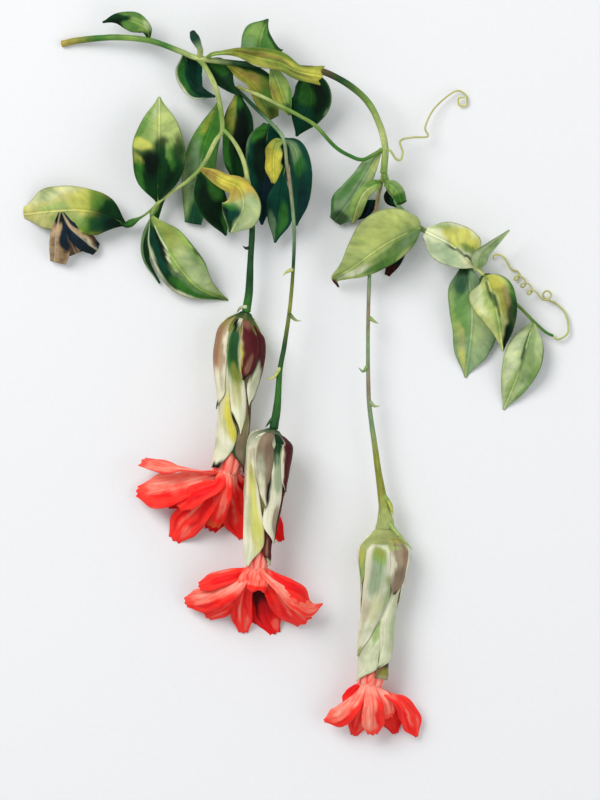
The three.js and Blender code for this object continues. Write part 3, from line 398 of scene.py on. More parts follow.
class Skin:
    """A material made of nodes, with what the surface functions below share."""

    def __init__(self, name):
        self.material = bpy.data.materials.new(name)
        self.material.use_nodes = True
        self.tree = self.material.node_tree
        self.shader = self.tree.nodes["Principled BSDF"]
        self.place = self.add("ShaderNodeTexCoord").outputs["Object"]

    def set(self, socket, value):
        if isinstance(value, bpy.types.NodeSocket):
            self.tree.links.new(value, socket)
        else:
            socket.default_value = value

    def add(self, kind, inputs=None, **settings):
        node = self.tree.nodes.new(kind)
        for key, value in settings.items():
            setattr(node, key, value)
        for key, value in (inputs or {}).items():
            self.set(node.inputs[key], value)
        return node

    def math(self, operation, a, b=0.0):
        return self.add("ShaderNodeMath", {0: a, 1: b}, operation=operation).outputs[0]

    def times(self, a, b):
        return self.math("MULTIPLY", a, b)

    def remap(self, value, low, high, to_low=0.0, to_high=1.0):
        return self.add("ShaderNodeMapRange", {0: value, 1: low, 2: high, 3: to_low, 4: to_high}).outputs[0]

    def mix(self, share, colour, tint, blend="MULTIPLY"):
        inputs = {0: share, 6: colour, 7: (*tint, 1)}
        return self.add("ShaderNodeMix", inputs, data_type="RGBA", blend_type=blend).outputs[2]

    def tint(self, colour, value, low, high, strength, tint, blend="MULTIPLY"):
        """The colour with a tint that comes in as the value goes from low to high."""
        return self.mix(self.remap(value, low, high, 0.0, strength), colour, tint, blend)

    def noise(self, vector, scale, detail=3.0, rough=0.55):
        inputs = {"Vector": vector, "Scale": scale, "Detail": detail, "Roughness": rough}
        return self.add("ShaderNodeTexNoise", inputs).outputs[0]

    def stretched(self, x, scale_x, y, scale_y):
        """A place in a texture whose scale differs in two directions."""
        inputs = {0: self.times(x, scale_x), 1: self.times(y, scale_y)}
        return self.add("ShaderNodeCombineXYZ", inputs).outputs[0]

    def own_streaks(self, flat, scale, detail):
        """Streaks that start anew on each petal or bract, because its place moves them."""
        moved = self.add("ShaderNodeVectorMath", {0: self.place, "Scale": scale}, operation="SCALE")
        both = self.add("ShaderNodeVectorMath", {0: flat, 1: moved.outputs[0]}).outputs[0]
        return self.noise(both, 1.0, detail, 0.6)

    def blade(self):
        """Colour, and across, along and half width in millimetres, from the piece's own points."""
        paint, place = (self.add("ShaderNodeAttribute", attribute_name=name) for name in ("paint", "blade"))
        return (paint.outputs["Color"], *self.add(
            "ShaderNodeSeparateXYZ", {0: place.outputs["Vector"]}).outputs)

    def finish(self, colour, roughness, height, strength, distance, specular):
        inputs = self.shader.inputs
        self.set(inputs["Base Color"], colour)
        self.set(inputs["Roughness"], roughness)
        bump = self.add("ShaderNodeBump", {"Strength": strength, "Distance": distance, "Height": height})
        self.set(inputs["Normal"], bump.outputs[0])
        inputs["Specular IOR Level"].default_value = specular
        return self.material


def leaf_material(spacing):
    """Leaf skin: watery clouds of light and dark, a faint midrib with painted shade beside it, side veins,
    and a thin darker edge.
    """
    skin = Skin("leaf_skin")
    paint, across, length, half = skin.blade()
    side = skin.math("ABSOLUTE", across)
    share = skin.math("DIVIDE", side, half)
    wobble = skin.noise(skin.place, 130.0, 2.0)
    slanted = skin.math("SUBTRACT", length, skin.times(side, VEIN_SLANT))
    slanted = skin.math("ADD", slanted, skin.times(wobble, 5.0))
    gap = skin.math("PINGPONG", slanted, spacing / 2)
    here = skin.remap(skin.noise(skin.place, 75.0, 2.0), 0.42, 0.62)
    vein = skin.times(skin.remap(gap, 0.4, 0.05), skin.times(here, skin.remap(share, 0.9, 0.4)))
    midrib = skin.remap(side, 0.42, 0.16)
    # A band on both sides of the midrib, where the blade dips into its groove, for painted shade
    beside = skin.times(skin.remap(side, 1.5, 0.4), skin.remap(side, 0.15, 0.5))
    streak = skin.noise(skin.stretched(slanted, 0.3, across, 0.16), 1.0, 3.0, 0.5)
    cloud = skin.noise(skin.place, 62.0, 4.0, 0.6)
    fine = skin.noise(skin.place, 900.0, 2.0)
    colour = skin.tint(paint, cloud, 0.5, 0.68, 0.6, (0.38, 0.54, 0.4))
    colour = skin.tint(colour, cloud, 0.48, 0.34, 0.6, (1.4, 1.32, 1.1))
    colour = skin.tint(colour, streak, 0.5, 0.72, 0.5, (0.46, 0.56, 0.36))
    colour = skin.tint(colour, streak, 0.46, 0.3, 0.5, (1.35, 1.28, 1.0))
    # Painted shade beside the midrib
    colour = skin.mix(skin.times(beside, 0.45), colour, (0.4, 0.5, 0.3))
    colour = skin.mix(skin.times(vein, 0.4), colour, (1.35, 1.3, 1.1))
    colour = skin.mix(skin.times(midrib, 0.4), colour, (1.7, 1.6, 1.5))
    colour = skin.tint(colour, share, 0.93, 1.0, 0.5, (0.06, 0.12, 0.04), "MIX")
    height = skin.math("SUBTRACT", skin.times(fine, 0.25), skin.math("ADD", vein, midrib))
    return skin.finish(colour, skin.remap(fine, 0.3, 0.7, 0.5, 0.66), height, 0.4, 0.00015, 0.08)


def withered_material():
    """Dry leaf: brown and papery, with creases."""
    skin = Skin("withered_leaf")
    paint, across, *_ = skin.blade()
    crease = skin.noise(skin.place, 240.0, 5.0, 0.7)
    colour = skin.tint(paint, crease, 0.4, 0.65, 0.65, (0.25, 0.22, 0.22))
    colour = skin.tint(colour, skin.math("ABSOLUTE", across), 0.6, 0.2, 0.5, (0.62, 0.5, 0.33), "MIX")
    return skin.finish(colour, skin.remap(crease, 0.3, 0.7, 0.7, 0.9), crease, 0.8, 0.0006, 0.2)


def stem_material(name, streak_share, gloss):
    """Stem or tendril skin: fine lengthwise streaks and a few darker flecks."""
    skin = Skin(name)
    paint, across, length, half = skin.blade()
    turn = skin.math("DIVIDE", across, skin.math("MAXIMUM", half, 0.2))
    streak = skin.noise(skin.stretched(turn, 5.0, length, 0.22), 1.0, 4.0, 0.6)
    fleck = skin.noise(skin.place, 700.0, 2.0)
    colour = skin.tint(paint, streak, 0.42, 0.7, streak_share, (0.3, 0.42, 0.2))
    colour = skin.tint(colour, streak, 0.5, 0.3, 0.5, (1.35, 1.3, 1.1))
    colour = skin.tint(colour, fleck, 0.66, 0.74, 0.5, (0.25, 0.2, 0.1))
    height = skin.math("ADD", streak, skin.times(fleck, 0.3))
    return skin.finish(colour, skin.remap(streak, 0.3, 0.7, gloss, gloss + 0.15), height, 0.5, 0.0003, 0.2)


def ribbed_parts(skin, scale_across, scale_along, own_scale, detail, wobble, rib_gap, fine_scale):
    """What bracts and petals share: paint, share of the half width, streaks, ribs, fine grain and height."""
    paint, across, length, half = skin.blade()
    share = skin.math("DIVIDE", skin.math("ABSOLUTE", across), skin.math("MAXIMUM", half, 0.2))
    streak = skin.own_streaks(skin.stretched(across, scale_across, length, scale_along), own_scale, detail)
    rib = skin.math("PINGPONG", skin.math("ADD", across, skin.times(streak, wobble)), rib_gap)
    fine = skin.noise(skin.place, fine_scale, 2.0)
    height = skin.math("ADD", skin.times(rib, 0.8), skin.times(fine, 0.2))
    return paint, share, streak, rib, fine, height


def bract_material():
    """Bract skin: leathery, with close lengthwise ribs and painted shade along the margin, where one bract
    lies on the next.
    """
    skin = Skin("bract_skin")
    paint, share, streak, rib, fine, height = ribbed_parts(skin, 1.6, 0.09, 40.0, 4.0, 0.8, 0.55, 800.0)
    cloud = skin.noise(skin.place, 110.0, 3.0)
    colour = skin.tint(paint, streak, 0.48, 0.75, 0.35, (0.5, 0.48, 0.36))
    colour = skin.tint(colour, streak, 0.48, 0.28, 0.5, (1.25, 1.22, 1.1))
    colour = skin.tint(colour, cloud, 0.48, 0.68, 0.45, (0.48, 0.5, 0.36))
    colour = skin.tint(colour, rib, 0.1, 0.02, 0.1, (0.2, 0.24, 0.12))
    # Painted shade along both edges of each bract, where one bract lies on the next
    colour = skin.tint(colour, share, 0.94, 1.0, 0.3, (0.26, 0.2, 0.1), "MIX")
    return skin.finish(colour, skin.remap(fine, 0.3, 0.7, 0.5, 0.7), height, 0.35, 0.0003, 0.14)


def petal_material():
    """Petal skin: satin red with fine veins from base to tip."""
    skin = Skin("petal_skin")
    paint, share, streak, vein, fine, height = ribbed_parts(skin, 2.2, 0.12, 50.0, 5.0, 0.6, 0.5, 1000.0)
    cloud = skin.noise(skin.place, 120.0, 3.0)
    colour = skin.tint(paint, streak, 0.5, 0.64, 0.75, (1, 0.27, 0.25))
    colour = skin.tint(colour, streak, 0.45, 0.3, 0.6, (1.06, 1.5, 1.4))
    colour = skin.tint(colour, cloud, 0.5, 0.62, 0.6, (1, 0.38, 0.34))
    colour = skin.tint(colour, vein, 0.08, 0.02, 0.25, (0.8, 0.3, 0.3))
    colour = skin.tint(colour, share, 0.94, 1.0, 0.2, (0.7, 0.03, 0.03), "MIX")
    return skin.finish(colour, skin.remap(fine, 0.3, 0.7, 0.45, 0.6), height, 0.35, 0.0002, 0.12)


def floor_material(colour):
    """Plain pale paper with a faint tooth."""
    skin = Skin("pale_floor")
    tooth = skin.noise(skin.place, 500.0, 3.0)
    paper = skin.tint((*colour, 1), tooth, 0.3, 0.7, 0.04, (0.6, 0.6, 0.6))
    return skin.finish(paper, skin.remap(tooth, 0.3, 0.7, 0.85, 0.95), tooth, 0.1, 0.0002, 0.1)


# Stems: each one's route, its radii at even steps and its colours from root to end

STEMS = {
    "main_stem": (
        [[-98.5, 139, 1], [-91, 140.5, 2.8], [-76, 141.5, 7], [-61.5, 140, 11], [-49, 135.5, 15],
         [-41.5, 132.5, 17], [-28, 130.5, 20], [-11, 129, 23], [1.5, 128, 23.5], [10, 127, 23],
         [20.5, 122, 21.5], [29, 115, 19.5], [34, 106.5, 17.5], [37, 96, 16], [36.5, 84.5, 14]],
        [1.4, 1.3, 1.2, 1.2, 1.3, 1.4, 1.4, 1.5],
        ["ochre", "leek", "stem", "leek", "stem_pale", "stem_dark", "dark", "brown", "stem_dark", "stem",
         "stem_pale", "stem"]),
    "left_branch": (
        [[-41.5, 132.5, 17], [-38, 128.5, 18], [-33, 117.5, 19], [-31, 103, 18], [-34, 97.5, 17],
         [-39, 88, 15], [-44.5, 82, 13], [-51, 77.5, 12], [-58, 72, 11], [-61, 67, 10]],
        [1.1, 1.1, 1, 0.9, 0.8, 0.8],
        ["stem", "stem_pale", "stem", "stem_pale", "stem", "stem_pale", "stem"]),
    "peduncle_1": (
        [[-31, 103, 18], [-26.5, 98, 18.5], [-22.5, 90.5, 18], [-20.5, 82, 17], [-18.5, 71.5, 15],
         [-18.5, 61.5, 13.5], [-19, 52.5, 12.5], [-19.5, 42, 12], [-20, 33.5, 11.2], [-21, 26.5, 10.6]],
        [0.8, 0.9, 1, 1, 1.2, 1.3, 1.6, 1.8],
        ["stem", "stem_pale", "stem_pale", "stem", "stem_dark", "stem_dark", "stem_dark", "leek"]),
    "peduncle_2": (
        [[-39.5, 132, 17], [-34, 126.5, 11], [-24.5, 119, 12], [-17, 111.5, 17], [-10.5, 105, 22],
         [-5.5, 98.5, 26], [-4, 88, 27], [-2.3, 76, 27], [-1, 61, 24], [-1.3, 46, 21], [-2.7, 28.5, 19],
         [-5, 12.5, 18], [-7, 1.5, 18], [-8, -12.5, 18], [-9.5, -22.5, 18]],
        [0.8, 0.8, 0.8, 0.75, 0.75, 0.75, 0.9, 1.2, 1.9],
        ["stem_dark", "dark", "stem_dark", "sage", "taupe", "sage", "stem_dark", "olive", "stem_dark",
         "leek", "stem_dark"]),
    "peduncle_3": (
        [[36.5, 84.5, 14], [34, 73.5, 8], [32.5, 63, 9], [31, 52.5, 10], [30.5, 40, 10], [30, 23, 10],
         [30, 2, 10], [30.5, -12.5, 10], [32.5, -27.5, 10], [34.5, -42, 10], [36.5, -54.5, 10.3],
         [37.1, -61.2, 10.5], [37, -64.3, 10.2]],
        [0.9, 0.8, 0.8, 0.8, 0.8, 0.8, 0.8, 0.8, 0.8, 0.85, 0.9, 1, 1.15, 1.3, 1.6, 2.2, 4],
        ["stem", "tan", "taupe", "sage", "taupe", "sage", "taupe", "sage", "olive", "olive", "pale"]),
    "slender_stem": (
        [[-24.5, 120.5, 13], [-16, 117, 20], [-7, 112.5, 22], [1.5, 108, 22], [8, 104, 21], [16, 95.5, 18],
         [22.5, 91.5, 17], [27.5, 90, 17], [32, 92, 16.5], [37, 95, 16]],
        [0.7, 0.8, 0.8, 0.8],
        ["olive", "stem_pale", "stem", "stem", "leek", "leek", "stem"]),
    "right_rachis": (
        [[36.5, 84.5, 14], [39.5, 76.5, 10], [44.5, 68.5, 9], [52, 61.5, 9], [64.5, 54, 8.5], [75, 45, 9],
         [83.5, 37, 7], [92, 30, 5], [99.5, 22.5, 5], [104.5, 18, 4], [107.5, 16.5, 3]],
        [1.3, 1.1, 1, 0.9, 0.7, 0.6],
        ["stem", "sage", "stem", "stem_pale", "stem", "leek"]),
    "young_shoot": (
        [[-40.4, 133.2, 17.4], [-40.2, 135.8, 20], [-41.4, 138.6, 21.8], [-42.7, 141.2, 23],
         [-43.5, 143.4, 23.5]],
        [1.3, 1.25, 1.3, 1.8, 1.9, 1.1],
        ["stem_pale", "pale", "sage", "teal", "dark"]),
}

# Scales on the flower stalks: from root to point, with their colours

STALK_SCALES = {
    "peduncle_1": [
        ([[-19, 53.5, 12.5], [-21, 53, 13], [-22.5, 54, 13.5]], ["dark", "navy"]),
        ([[-21, 28.5, 12], [-23.5, 28, 13], [-25, 26, 13]], ["cream", "leek"]),
    ],
    "peduncle_2": [
        ([[-1.6, 44, 20.8], [-4, 43, 22], [-5.5, 41.5, 22]], ["stem_pale", "lime"]),
        ([[-3.1, 25.5, 18.8], [-0.5, 23, 20], [2, 22.5, 20]], ["stem_dark", "stem_pale"]),
        ([[-6.5, 3.5, 18], [-9.5, -1, 20], [-13, -1.5, 20]], ["stem_pale", "lime"]),
        ([[-9, -17, 18], [-11.5, -20, 19], [-13, -22, 18.5]], ["leek", "stem_dark"]),
    ],
    "peduncle_3": [
        ([[30.5, 24, 10], [32.5, 22.5, 11], [34.5, 21.5, 11]], ["stem", "stem_pale"]),
        ([[30, 4, 10], [28, 1.5, 11], [26, 3, 11]], ["stem", "sage"]),
        ([[30.5, -11, 10], [32.5, -13, 11], [35, -13, 11]], ["sage", "stem_pale"]),
        ([[36, -50, 10.5], [39, -54, 12], [40.5, -59, 12]], ["stem", "lime"]),
        ([[37.5, -60, 11], [42.3, -66.6, 15.4], [48.5, -73, 14]], ["light", "stem_pale"]),
    ],
}

# Radii of a scale from root to point, also for one whose ends lie further apart than LONG_SCALE

SCALE_RADII = [0.9, 0.75, 0.5, 0.12]
LONG_SCALE_RADII = [1.2, 1, 0.8, 0.15]
LONG_SCALE = 10

# Tendrils. The coil of the second one turns round the line between two places.

TENDRILS = {
    "tendril_1": [
        [37.5, 95, 16], [39.5, 93.5, 16], [41.5, 90.5, 15], [43.5, 90, 14], [44.5, 93, 13], [43.5, 98, 11],
        [48.5, 99.5, 9], [55, 100, 7], [54, 104, 6], [58, 112, 4], [66.5, 119, 2.5], [71, 117.5, 1.5],
        [71.5, 113.5, 1], [68.5, 113, 1.5], [68, 116, 2.5], [70.5, 116.5, 3.5]],
    "tendril_2": [
        [107.5, 16.5, 3], [110, 15, 2.5], [114, 18, 2], [113, 25.5, 1.5], [109, 30, 1.5],
        [106.3, 31.2, 1.5], [104.1, 32.2, 2.2], [103.5, 34, 3], [105.1, 35.3, 3.8], [106.9, 33.9, 4.5],
        [105.9, 31.9, 5.1], [103.4, 31.6, 5.8], "coil", [90, 44.5, 2], [87, 49.5, 2], [83.5, 50.5, 2],
        [82.5, 48.5, 1.5]],
}
COIL = {"start": [99.5, 33.5, 6.5], "end": [91.5, 42.5, 0.9], "radius": 1.6, "turns": 3, "steps": 24}
TENDRIL_RADII = [0.5, 0.42, 0.35]

# Leaflets. left and right are half widths at even steps along the rib. fold is the slope of the left and the
# right half, and turn tips the whole blade about its rib, all in degrees. wave is the height of the waves at
# its edge, and teeth is how ragged its tip is. A patch is (colour, t along, u across, reach along, reach
# across, strength), with u from -1 at the right edge to 1 at the left one.

# Pale patches such as frost and light are partly painted highlights, and dark, black and navy ones
# are partly painted shade, deepest where a leaflet lies under another.
LEAVES = {
    "leaf_cut_end": {
        "slot": "leaf_dark", "base": "dark", "fold": [-15, -20],
        "rib": [[-61.8, 141, 11], [-62.6, 144.5, 13.5], [-67, 147.3, 14.5], [-74, 148.8, 13],
                [-81.2, 147.8, 8]],
        "left": [0.8, 3.5, 5, 4, 1.2, 0.4], "right": [0.8, 2.6, 4.2, 3.4, 2.2, 0.4],
        "patches": [
            ("light", 0.28, -0.2, 0.24, 1.2, 0.95), ("mid", 0.45, 0.6, 0.2, 0.6, 0.9),
            ("frost", 0.2, -0.5, 0.12, 0.5, 0.5), ("mid", 0.5, -0.9, 0.25, 0.4, 0.8),
            ("black", 0.75, 0.4, 0.2, 0.6, 0.8)]},
    "leaf_hooked": {
        "slot": "leaf_teal", "base": "teal", "fold": [-5, 15],
        "rib": [[-47, 135, 15], [-46, 130.5, 10.5], [-45, 124, 8], [-41.5, 118.5, 8], [-34, 116.5, 12]],
        "left": [0.7, 6, 5.5, 3, 0.5], "right": [0.7, 5, 5, 3, 0.5],
        "patches": [
            ("leek", 0.35, -0.55, 0.35, 0.4, 0.7), ("black", 0.35, 0.4, 0.35, 0.4, 0.7),
            ("black", 0.85, 0, 0.3, 1, 0.5), ("frost", 0.4, -1.05, 0.6, 0.25, 0.9)]},
    "leaf_yellow": {
        "slot": "leaf_yellow", "base": "olive", "fold": [-18, -18], "wave": 1.1, "teeth": 1.2,
        "rib": [[-38.3, 132.1, 18], [-34, 134, 24], [-24.5, 134.2, 28.5], [-15.5, 132, 31],
                [-6.5, 129.8, 31.5], [0.5, 126.3, 31.5], [9.8, 124.4, 30.5]],
        "left": [0.8, 0.9, 1.2, 2.4, 4.6, 4.6, 3.4, 3, 4.6],
        "right": [0.8, 0.9, 1.3, 2.5, 4.6, 4.5, 3.6, 4.2, 4.6],
        "patches": [
            ("light", 0.05, 0, 0.26, 1.5, 0.8), ("lime", 0.55, -0.45, 0.25, 0.4, 0.5),
            ("lime", 0.86, 0, 0.18, 0.9, 0.6), ("brown", 0.45, 0.35, 0.14, 0.22, 0.6),
            ("brown", 0.66, 0.15, 0.16, 0.18, 0.6), ("brown", 0.84, -0.3, 0.1, 0.16, 0.5),
            ("leek", 0.62, 0.9, 0.3, 0.25, 0.6), ("mid", 0.7, -0.2, 0.2, 0.4, 0.5),
            ("frost", 0.4, -1, 0.3, 0.18, 0.8), ("mid", 0.78, -0.8, 0.1, 0.3, 0.5)]},
    "leaf_dark_band": {
        "slot": "leaf_dark", "base": "dark",
        "rib": [[-39.5, 132, 17], [-34, 126.5, 14], [-29, 120.5, 14.5], [-24, 117, 15]],
        "left": [0.7, 6, 6.5, 3.5, 0.5], "right": [0.7, 2, 3, 1.5, 0.5],
        "patches": [
            ("leek", 0.3, 0.5, 0.3, 0.5, 0.5), ("black", 0.6, -0.3, 0.3, 0.5, 0.5)]},
    "leaf_olive": {
        "slot": "leaf_green", "base": "olive", "fold": [8, -8],
        "rib": [[-29, 130, 20], [-23.5, 125.5, 18], [-16, 118, 16], [-10, 107.3, 11]],
        "left": [0.7, 5, 8, 8.5, 6.5, 3], "right": [0.7, 2, 1.5, 3.2, 3.4, 2],
        "patches": [
            ("ochre", 0.2, 0.1, 0.2, 0.4, 0.5), ("brown", 0.4, 0.35, 0.22, 0.25, 0.45),
            ("mid", 0.75, 0.2, 0.22, 0.8, 0.7), ("dark", 0.97, 0.3, 0.14, 0.9, 0.7),
            ("dark", 0.3, 0.9, 0.4, 0.35, 1), ("leek", 0.6, 0.5, 0.2, 0.4, 0.5)]},
    "leaf_olive_small": {
        "slot": "leaf_pale", "base": "light", "fold": [-10, -10],
        "rib": [[-10.5, 128.5, 23], [-8.5, 124, 20.5], [-6, 117, 19.5], [-2.8, 108.6, 16.5]],
        "left": [0.7, 3, 4.2, 4, 2.6, 0.6], "right": [0.7, 2.8, 4, 4.4, 3.4, 0.6],
        "patches": [
            ("olive", 0.6, -0.45, 0.4, 0.6, 0.8), ("brown", 0.45, -0.7, 0.25, 0.2, 0.6),
            ("dark", 0.95, 0.3, 0.25, 0.8, 0.8), ("leek", 0.7, 0.8, 0.3, 0.3, 0.7)]},
    "leaf_top": {
        "slot": "leaf_green", "base": "mid", "fold": [-10, -10],
        "rib": [[-14.5, 129.5, 23], [-15.5, 136, 24], [-14.5, 142, 22], [-12, 148.7, 18]],
        "left": [3, 7.5, 7.8, 8, 6.6, 0.5], "right": [3, 9.8, 8.2, 5, 1.8, 0.5],
        "patches": [
            ("light", 0.6, 0.4, 0.35, 0.5, 0.8), ("dark", 0.55, -0.95, 0.5, 0.3, 0.8),
            ("dark", 1, 0, 0.15, 1, 0.6), ("sage", 0.35, 0.6, 0.2, 0.5, 0.6),
            ("leek", 0.2, -0.3, 0.2, 0.5, 0.5)]},
    "leaf_round": {
        "slot": "leaf_teal", "base": "dark", "fold": [-10, -10],
        "rib": [[2.5, 127.5, 23], [5, 122, 19], [6, 113.5, 16], [0, 100, 10]],
        "left": [0.7, 7, 9, 6.5, 0.5], "right": [0.7, 6, 8.5, 6, 0.5],
        "patches": [
            ("leek", 0.38, -0.25, 0.25, 0.4, 0.4), ("black", 0.45, 0.4, 0.3, 0.35, 0.8),
            ("teal", 0.85, -0.2, 0.3, 0.9, 0.7), ("sage", 0.5, 1.02, 0.4, 0.15, 0.7)]},
    "leaf_upright": {
        "slot": "leaf_green", "base": "light", "fold": [-12, -12], "wave": 0.8,
        "rib": [[-58, 72, 11], [-58, 78.5, 15.5], [-57.5, 94.5, 19], [-57.5, 116.5, 10]],
        "left": [0.8, 9, 11, 11, 7, 0.5], "right": [0.8, 8.5, 11.5, 10.5, 7, 0.5],
        "patches": [
            ("frost", 0.9, 0.1, 0.16, 0.5, 0.4), ("pale", 0.72, -0.4, 0.26, 0.7, 0.8),
            ("leek", 0.68, 0.85, 0.2, 0.3, 0.5), ("dark", 0.24, 0, 0.34, 2, 1),
            ("dark", 0.5, -0.1, 0.16, 0.35, 0.9), ("dark", 0.46, -0.8, 0.2, 0.3, 0.8),
            ("lime", 0.56, 0.6, 0.08, 0.45, 0.65), ("light", 0.53, -0.42, 0.12, 0.2, 0.7),
            ("lime", 0.4, 0.8, 0.08, 0.25, 0.5), ("black", 0.36, 0.3, 0.14, 0.35, 1),
            ("black", 0.28, -0.5, 0.18, 0.3, 0.7), ("leek", 0.25, 0.82, 0.2, 0.2, 0.8),
            ("leek", 0.44, -0.5, 0.12, 0.2, 0.6)]},
    "leaf_low": {
        "slot": "leaf_pale", "base": "light", "fold": [5, -32],
        "rib": [[-61, 67, 10], [-57, 57.5, 13], [-49, 45, 12], [-40.5, 36, 8], [-29, 31.5, 0.2]],
        "left": [0.8, 8, 10, 9.5, 5, 0.5], "right": [0.8, 7, 10, 10, 5, 0.5],
        "patches": [
            ("dark", 0.4, -0.55, 0.5, 0.6, 1), ("leek", 0.78, -0.5, 0.26, 0.5, 0.9),
            ("teal", 0.3, -0.5, 0.25, 0.35, 0.8), ("frost", 0.5, -1.05, 0.7, 0.2, 0.9),
            ("sage", 0.55, -0.22, 0.3, 0.14, 0.4), ("frost", 0.3, -0.04, 0.25, 0.07, 0.8),
            ("olive", 0.22, 0.45, 0.25, 0.4, 0.6), ("reed", 0.6, 0.5, 0.35, 0.45, 0.9),
            ("black", 0.28, -0.2, 0.25, 0.14, 0.9), ("dark", 1, 0, 0.15, 1, 0.6),
            ("dark", 0.5, 1.06, 0.7, 0.12, 0.8), ("leek", 0.45, 0.75, 0.15, 0.2, 0.4)]},
    "leaf_low_back": {
        "slot": "leaf_green", "base": "dark", "turn": [25],
        "rib": [[-55.5, 74, 11], [-59, 68, 6.5], [-63.5, 58, 5.5], [-63.5, 48.5, 4], [-57.5, 38.5, 1.5]],
        "left": [0.7, 2.5, 3, 2, 0.5], "right": [0.7, 1.2, 1.5, 1, 0.4],
        "patches": [
            ("sage", 0.5, -0.6, 0.6, 0.5, 0.8), ("leek", 0.2, 0.3, 0.3, 0.6, 0.5)]},
    "leaf_left": {
        "slot": "leaf_yellow", "base": "lime", "fold": [-12, -12], "wave": 0.6,
        "stalk": [[-58.5, 71.5, 10.5], [-63, 67.5, 9], [-68, 64.5, 7.5], [-71, 63, 7], [-74, 63.5, 8]],
        "stalk_radii": [0.5, 0.5, 0.6, 1.6, 0.6],
        "rib": [[-71.5, 63, 7], [-80, 67, 11], [-91, 69, 12.5], [-103.5, 68.5, 8.5], [-114.5, 67.5, 0]],
        "left": [0.8, 9, 10, 8.5, 7, 2], "right": [0.8, 7.5, 9.5, 10.5, 9.5, 3],
        "patches": [
            ("straw", 0.75, 0.1, 0.45, 1.2, 0.85), ("dark", 0, 0, 0.4, 2, 1),
            ("leek", 0.34, -0.6, 0.12, 0.5, 0.7), ("leek", 0.34, 0.6, 0.12, 0.5, 0.8),
            ("light", 0.6, -0.2, 0.3, 0.25, 0.7), ("light", 0.55, 0.45, 0.25, 0.35, 0.6),
            ("frost", 0.72, -0.8, 0.3, 0.25, 0.5), ("teal", 0.2, 0.5, 0.14, 0.6, 0.7),
            ("black", 0.1, 0.4, 0.14, 0.6, 0.8), ("lime", 0.45, -0.35, 0.1, 0.5, 0.7)]},
    "leaf_grey": {
        "slot": "leaf_green", "base": "mid", "fold": [0, -10],
        "rib": [[-32.5, 114, 19], [-35, 106.5, 15], [-39, 94.5, 10], [-41.5, 78, 7], [-43.5, 63.5, 3]],
        "left": [0.7, 5, 6, 6.5, 5.8, 3.6], "right": [0.7, 4, 6.5, 7.5, 6, 3.6],
        "patches": [
            ("leek", 0.32, 0.1, 0.3, 0.9, 0.8), ("olive", 0.12, -0.5, 0.2, 0.4, 0.6),
            ("sage", 0.6, -0.4, 0.3, 0.5, 0.8), ("reed", 0.74, -0.8, 0.22, 0.3, 0.6),
            ("leek", 0.9, 0.35, 0.22, 0.5, 0.7), ("teal", 1, 0.2, 0.16, 1.2, 0.9)]},
    "leaf_centre_dark": {
        "slot": "leaf_dark", "base": "dark", "fold": [-8, 8],
        "rib": [[-24.5, 119, 12], [-25, 109, 12], [-25.5, 96.5, 12], [-24.5, 79, 7]],
        "left": [0.7, 6.5, 7.5, 6.3, 0.8], "right": [0.7, 5, 5.5, 5, 0.8],
        "patches": [
            ("olive", 0.2, -0.5, 0.3, 0.45, 1), ("light", 0.14, -0.2, 0.2, 0.14, 0.7),
            ("black", 0.45, 0.3, 0.35, 0.5, 1), ("leek", 0.6, -0.7, 0.3, 0.4, 0.8),
            ("leek", 0.1, 0.3, 0.1, 0.5, 0.6)]},
    "leaf_rolled_body": {
        "slot": "leaf_dark", "base": "dark", "fold": [5, -10],
        "rib": [[-41, 85.5, 14.2], [-39, 80, 14], [-36.5, 71, 12], [-29.5, 58.5, 7]],
        "left": [0.7, 7, 8, 6, 0.5], "right": [0.7, 4.5, 5, 3.5, 0.5],
        "patches": [
            ("black", 0.55, 0, 0.45, 0.9, 0.8), ("leek", 0.25, 0.6, 0.25, 0.5, 0.6),
            ("leek", 0.8, 0.6, 0.2, 0.4, 0.5)]},
    "leaf_rolled_flap": {
        "slot": "leaf_yellow", "base": "ochre", "fold": [-5, -5],
        "rib": [[-40, 86.2, 15.4], [-35, 83.8, 17.5], [-30, 81, 19.3], [-24, 78, 20.5], [-22.3, 70, 20.5],
                [-27.5, 59.5, 15.5]],
        "left": [1, 2.6, 3.3, 5, 7.5, 7, 1.2], "right": [1, 3, 3.8, 5.4, 9, 7.5, 1.2],
        "patches": [
            ("yellow", 0.35, 0.2, 0.2, 0.6, 0.8), ("brown", 0.1, -0.2, 0.16, 0.8, 0.5),
            ("olive", 0.25, -0.7, 0.2, 0.3, 0.7), ("reed", 0.84, 0.2, 0.33, 2, 1),
            ("frost", 0.78, 0.5, 0.12, 0.3, 0.5), ("reed", 0.72, 0.3, 0.16, 0.6, 0.7),
            ("teal", 0.84, -0.5, 0.2, 0.46, 1), ("black", 0.8, -0.75, 0.12, 0.2, 0.8),
            ("dark", 0.97, -0.5, 0.1, 0.5, 0.8), ("leek", 0.68, -0.6, 0.1, 0.35, 0.7)]},
    "leaf_teal": {
        "slot": "leaf_teal", "base": "teal", "fold": [-5, -5],
        "rib": [[-11, 104.5, 21.5], [-12.5, 98, 16.5], [-13, 85.5, 12.5], [-14.5, 71.5, 8.5],
                [-14.5, 63, 5.5]],
        "left": [3, 9, 10, 9.2, 5.5, 0.5], "right": [3, 8, 8.5, 7.5, 5, 0.5],
        "patches": [
            ("black", 0.4, -0.2, 0.35, 0.5, 0.9), ("navy", 0.75, 0.1, 0.3, 0.6, 0.9),
            ("leek", 0.1, -0.5, 0.15, 0.5, 0.9), ("sage", 0.35, -1.05, 0.4, 0.2, 0.7),
            ("teal", 0.3, 0.7, 0.2, 0.3, 0.8)]},
    "leaf_sunlit": {
        "slot": "leaf_yellow", "base": "olive", "wave": 0.6,
        "rib": [[-5.3, 97.5, 26], [-8.2, 96.3, 23], [-9.6, 90, 18.8], [-9.2, 80, 15.8]],
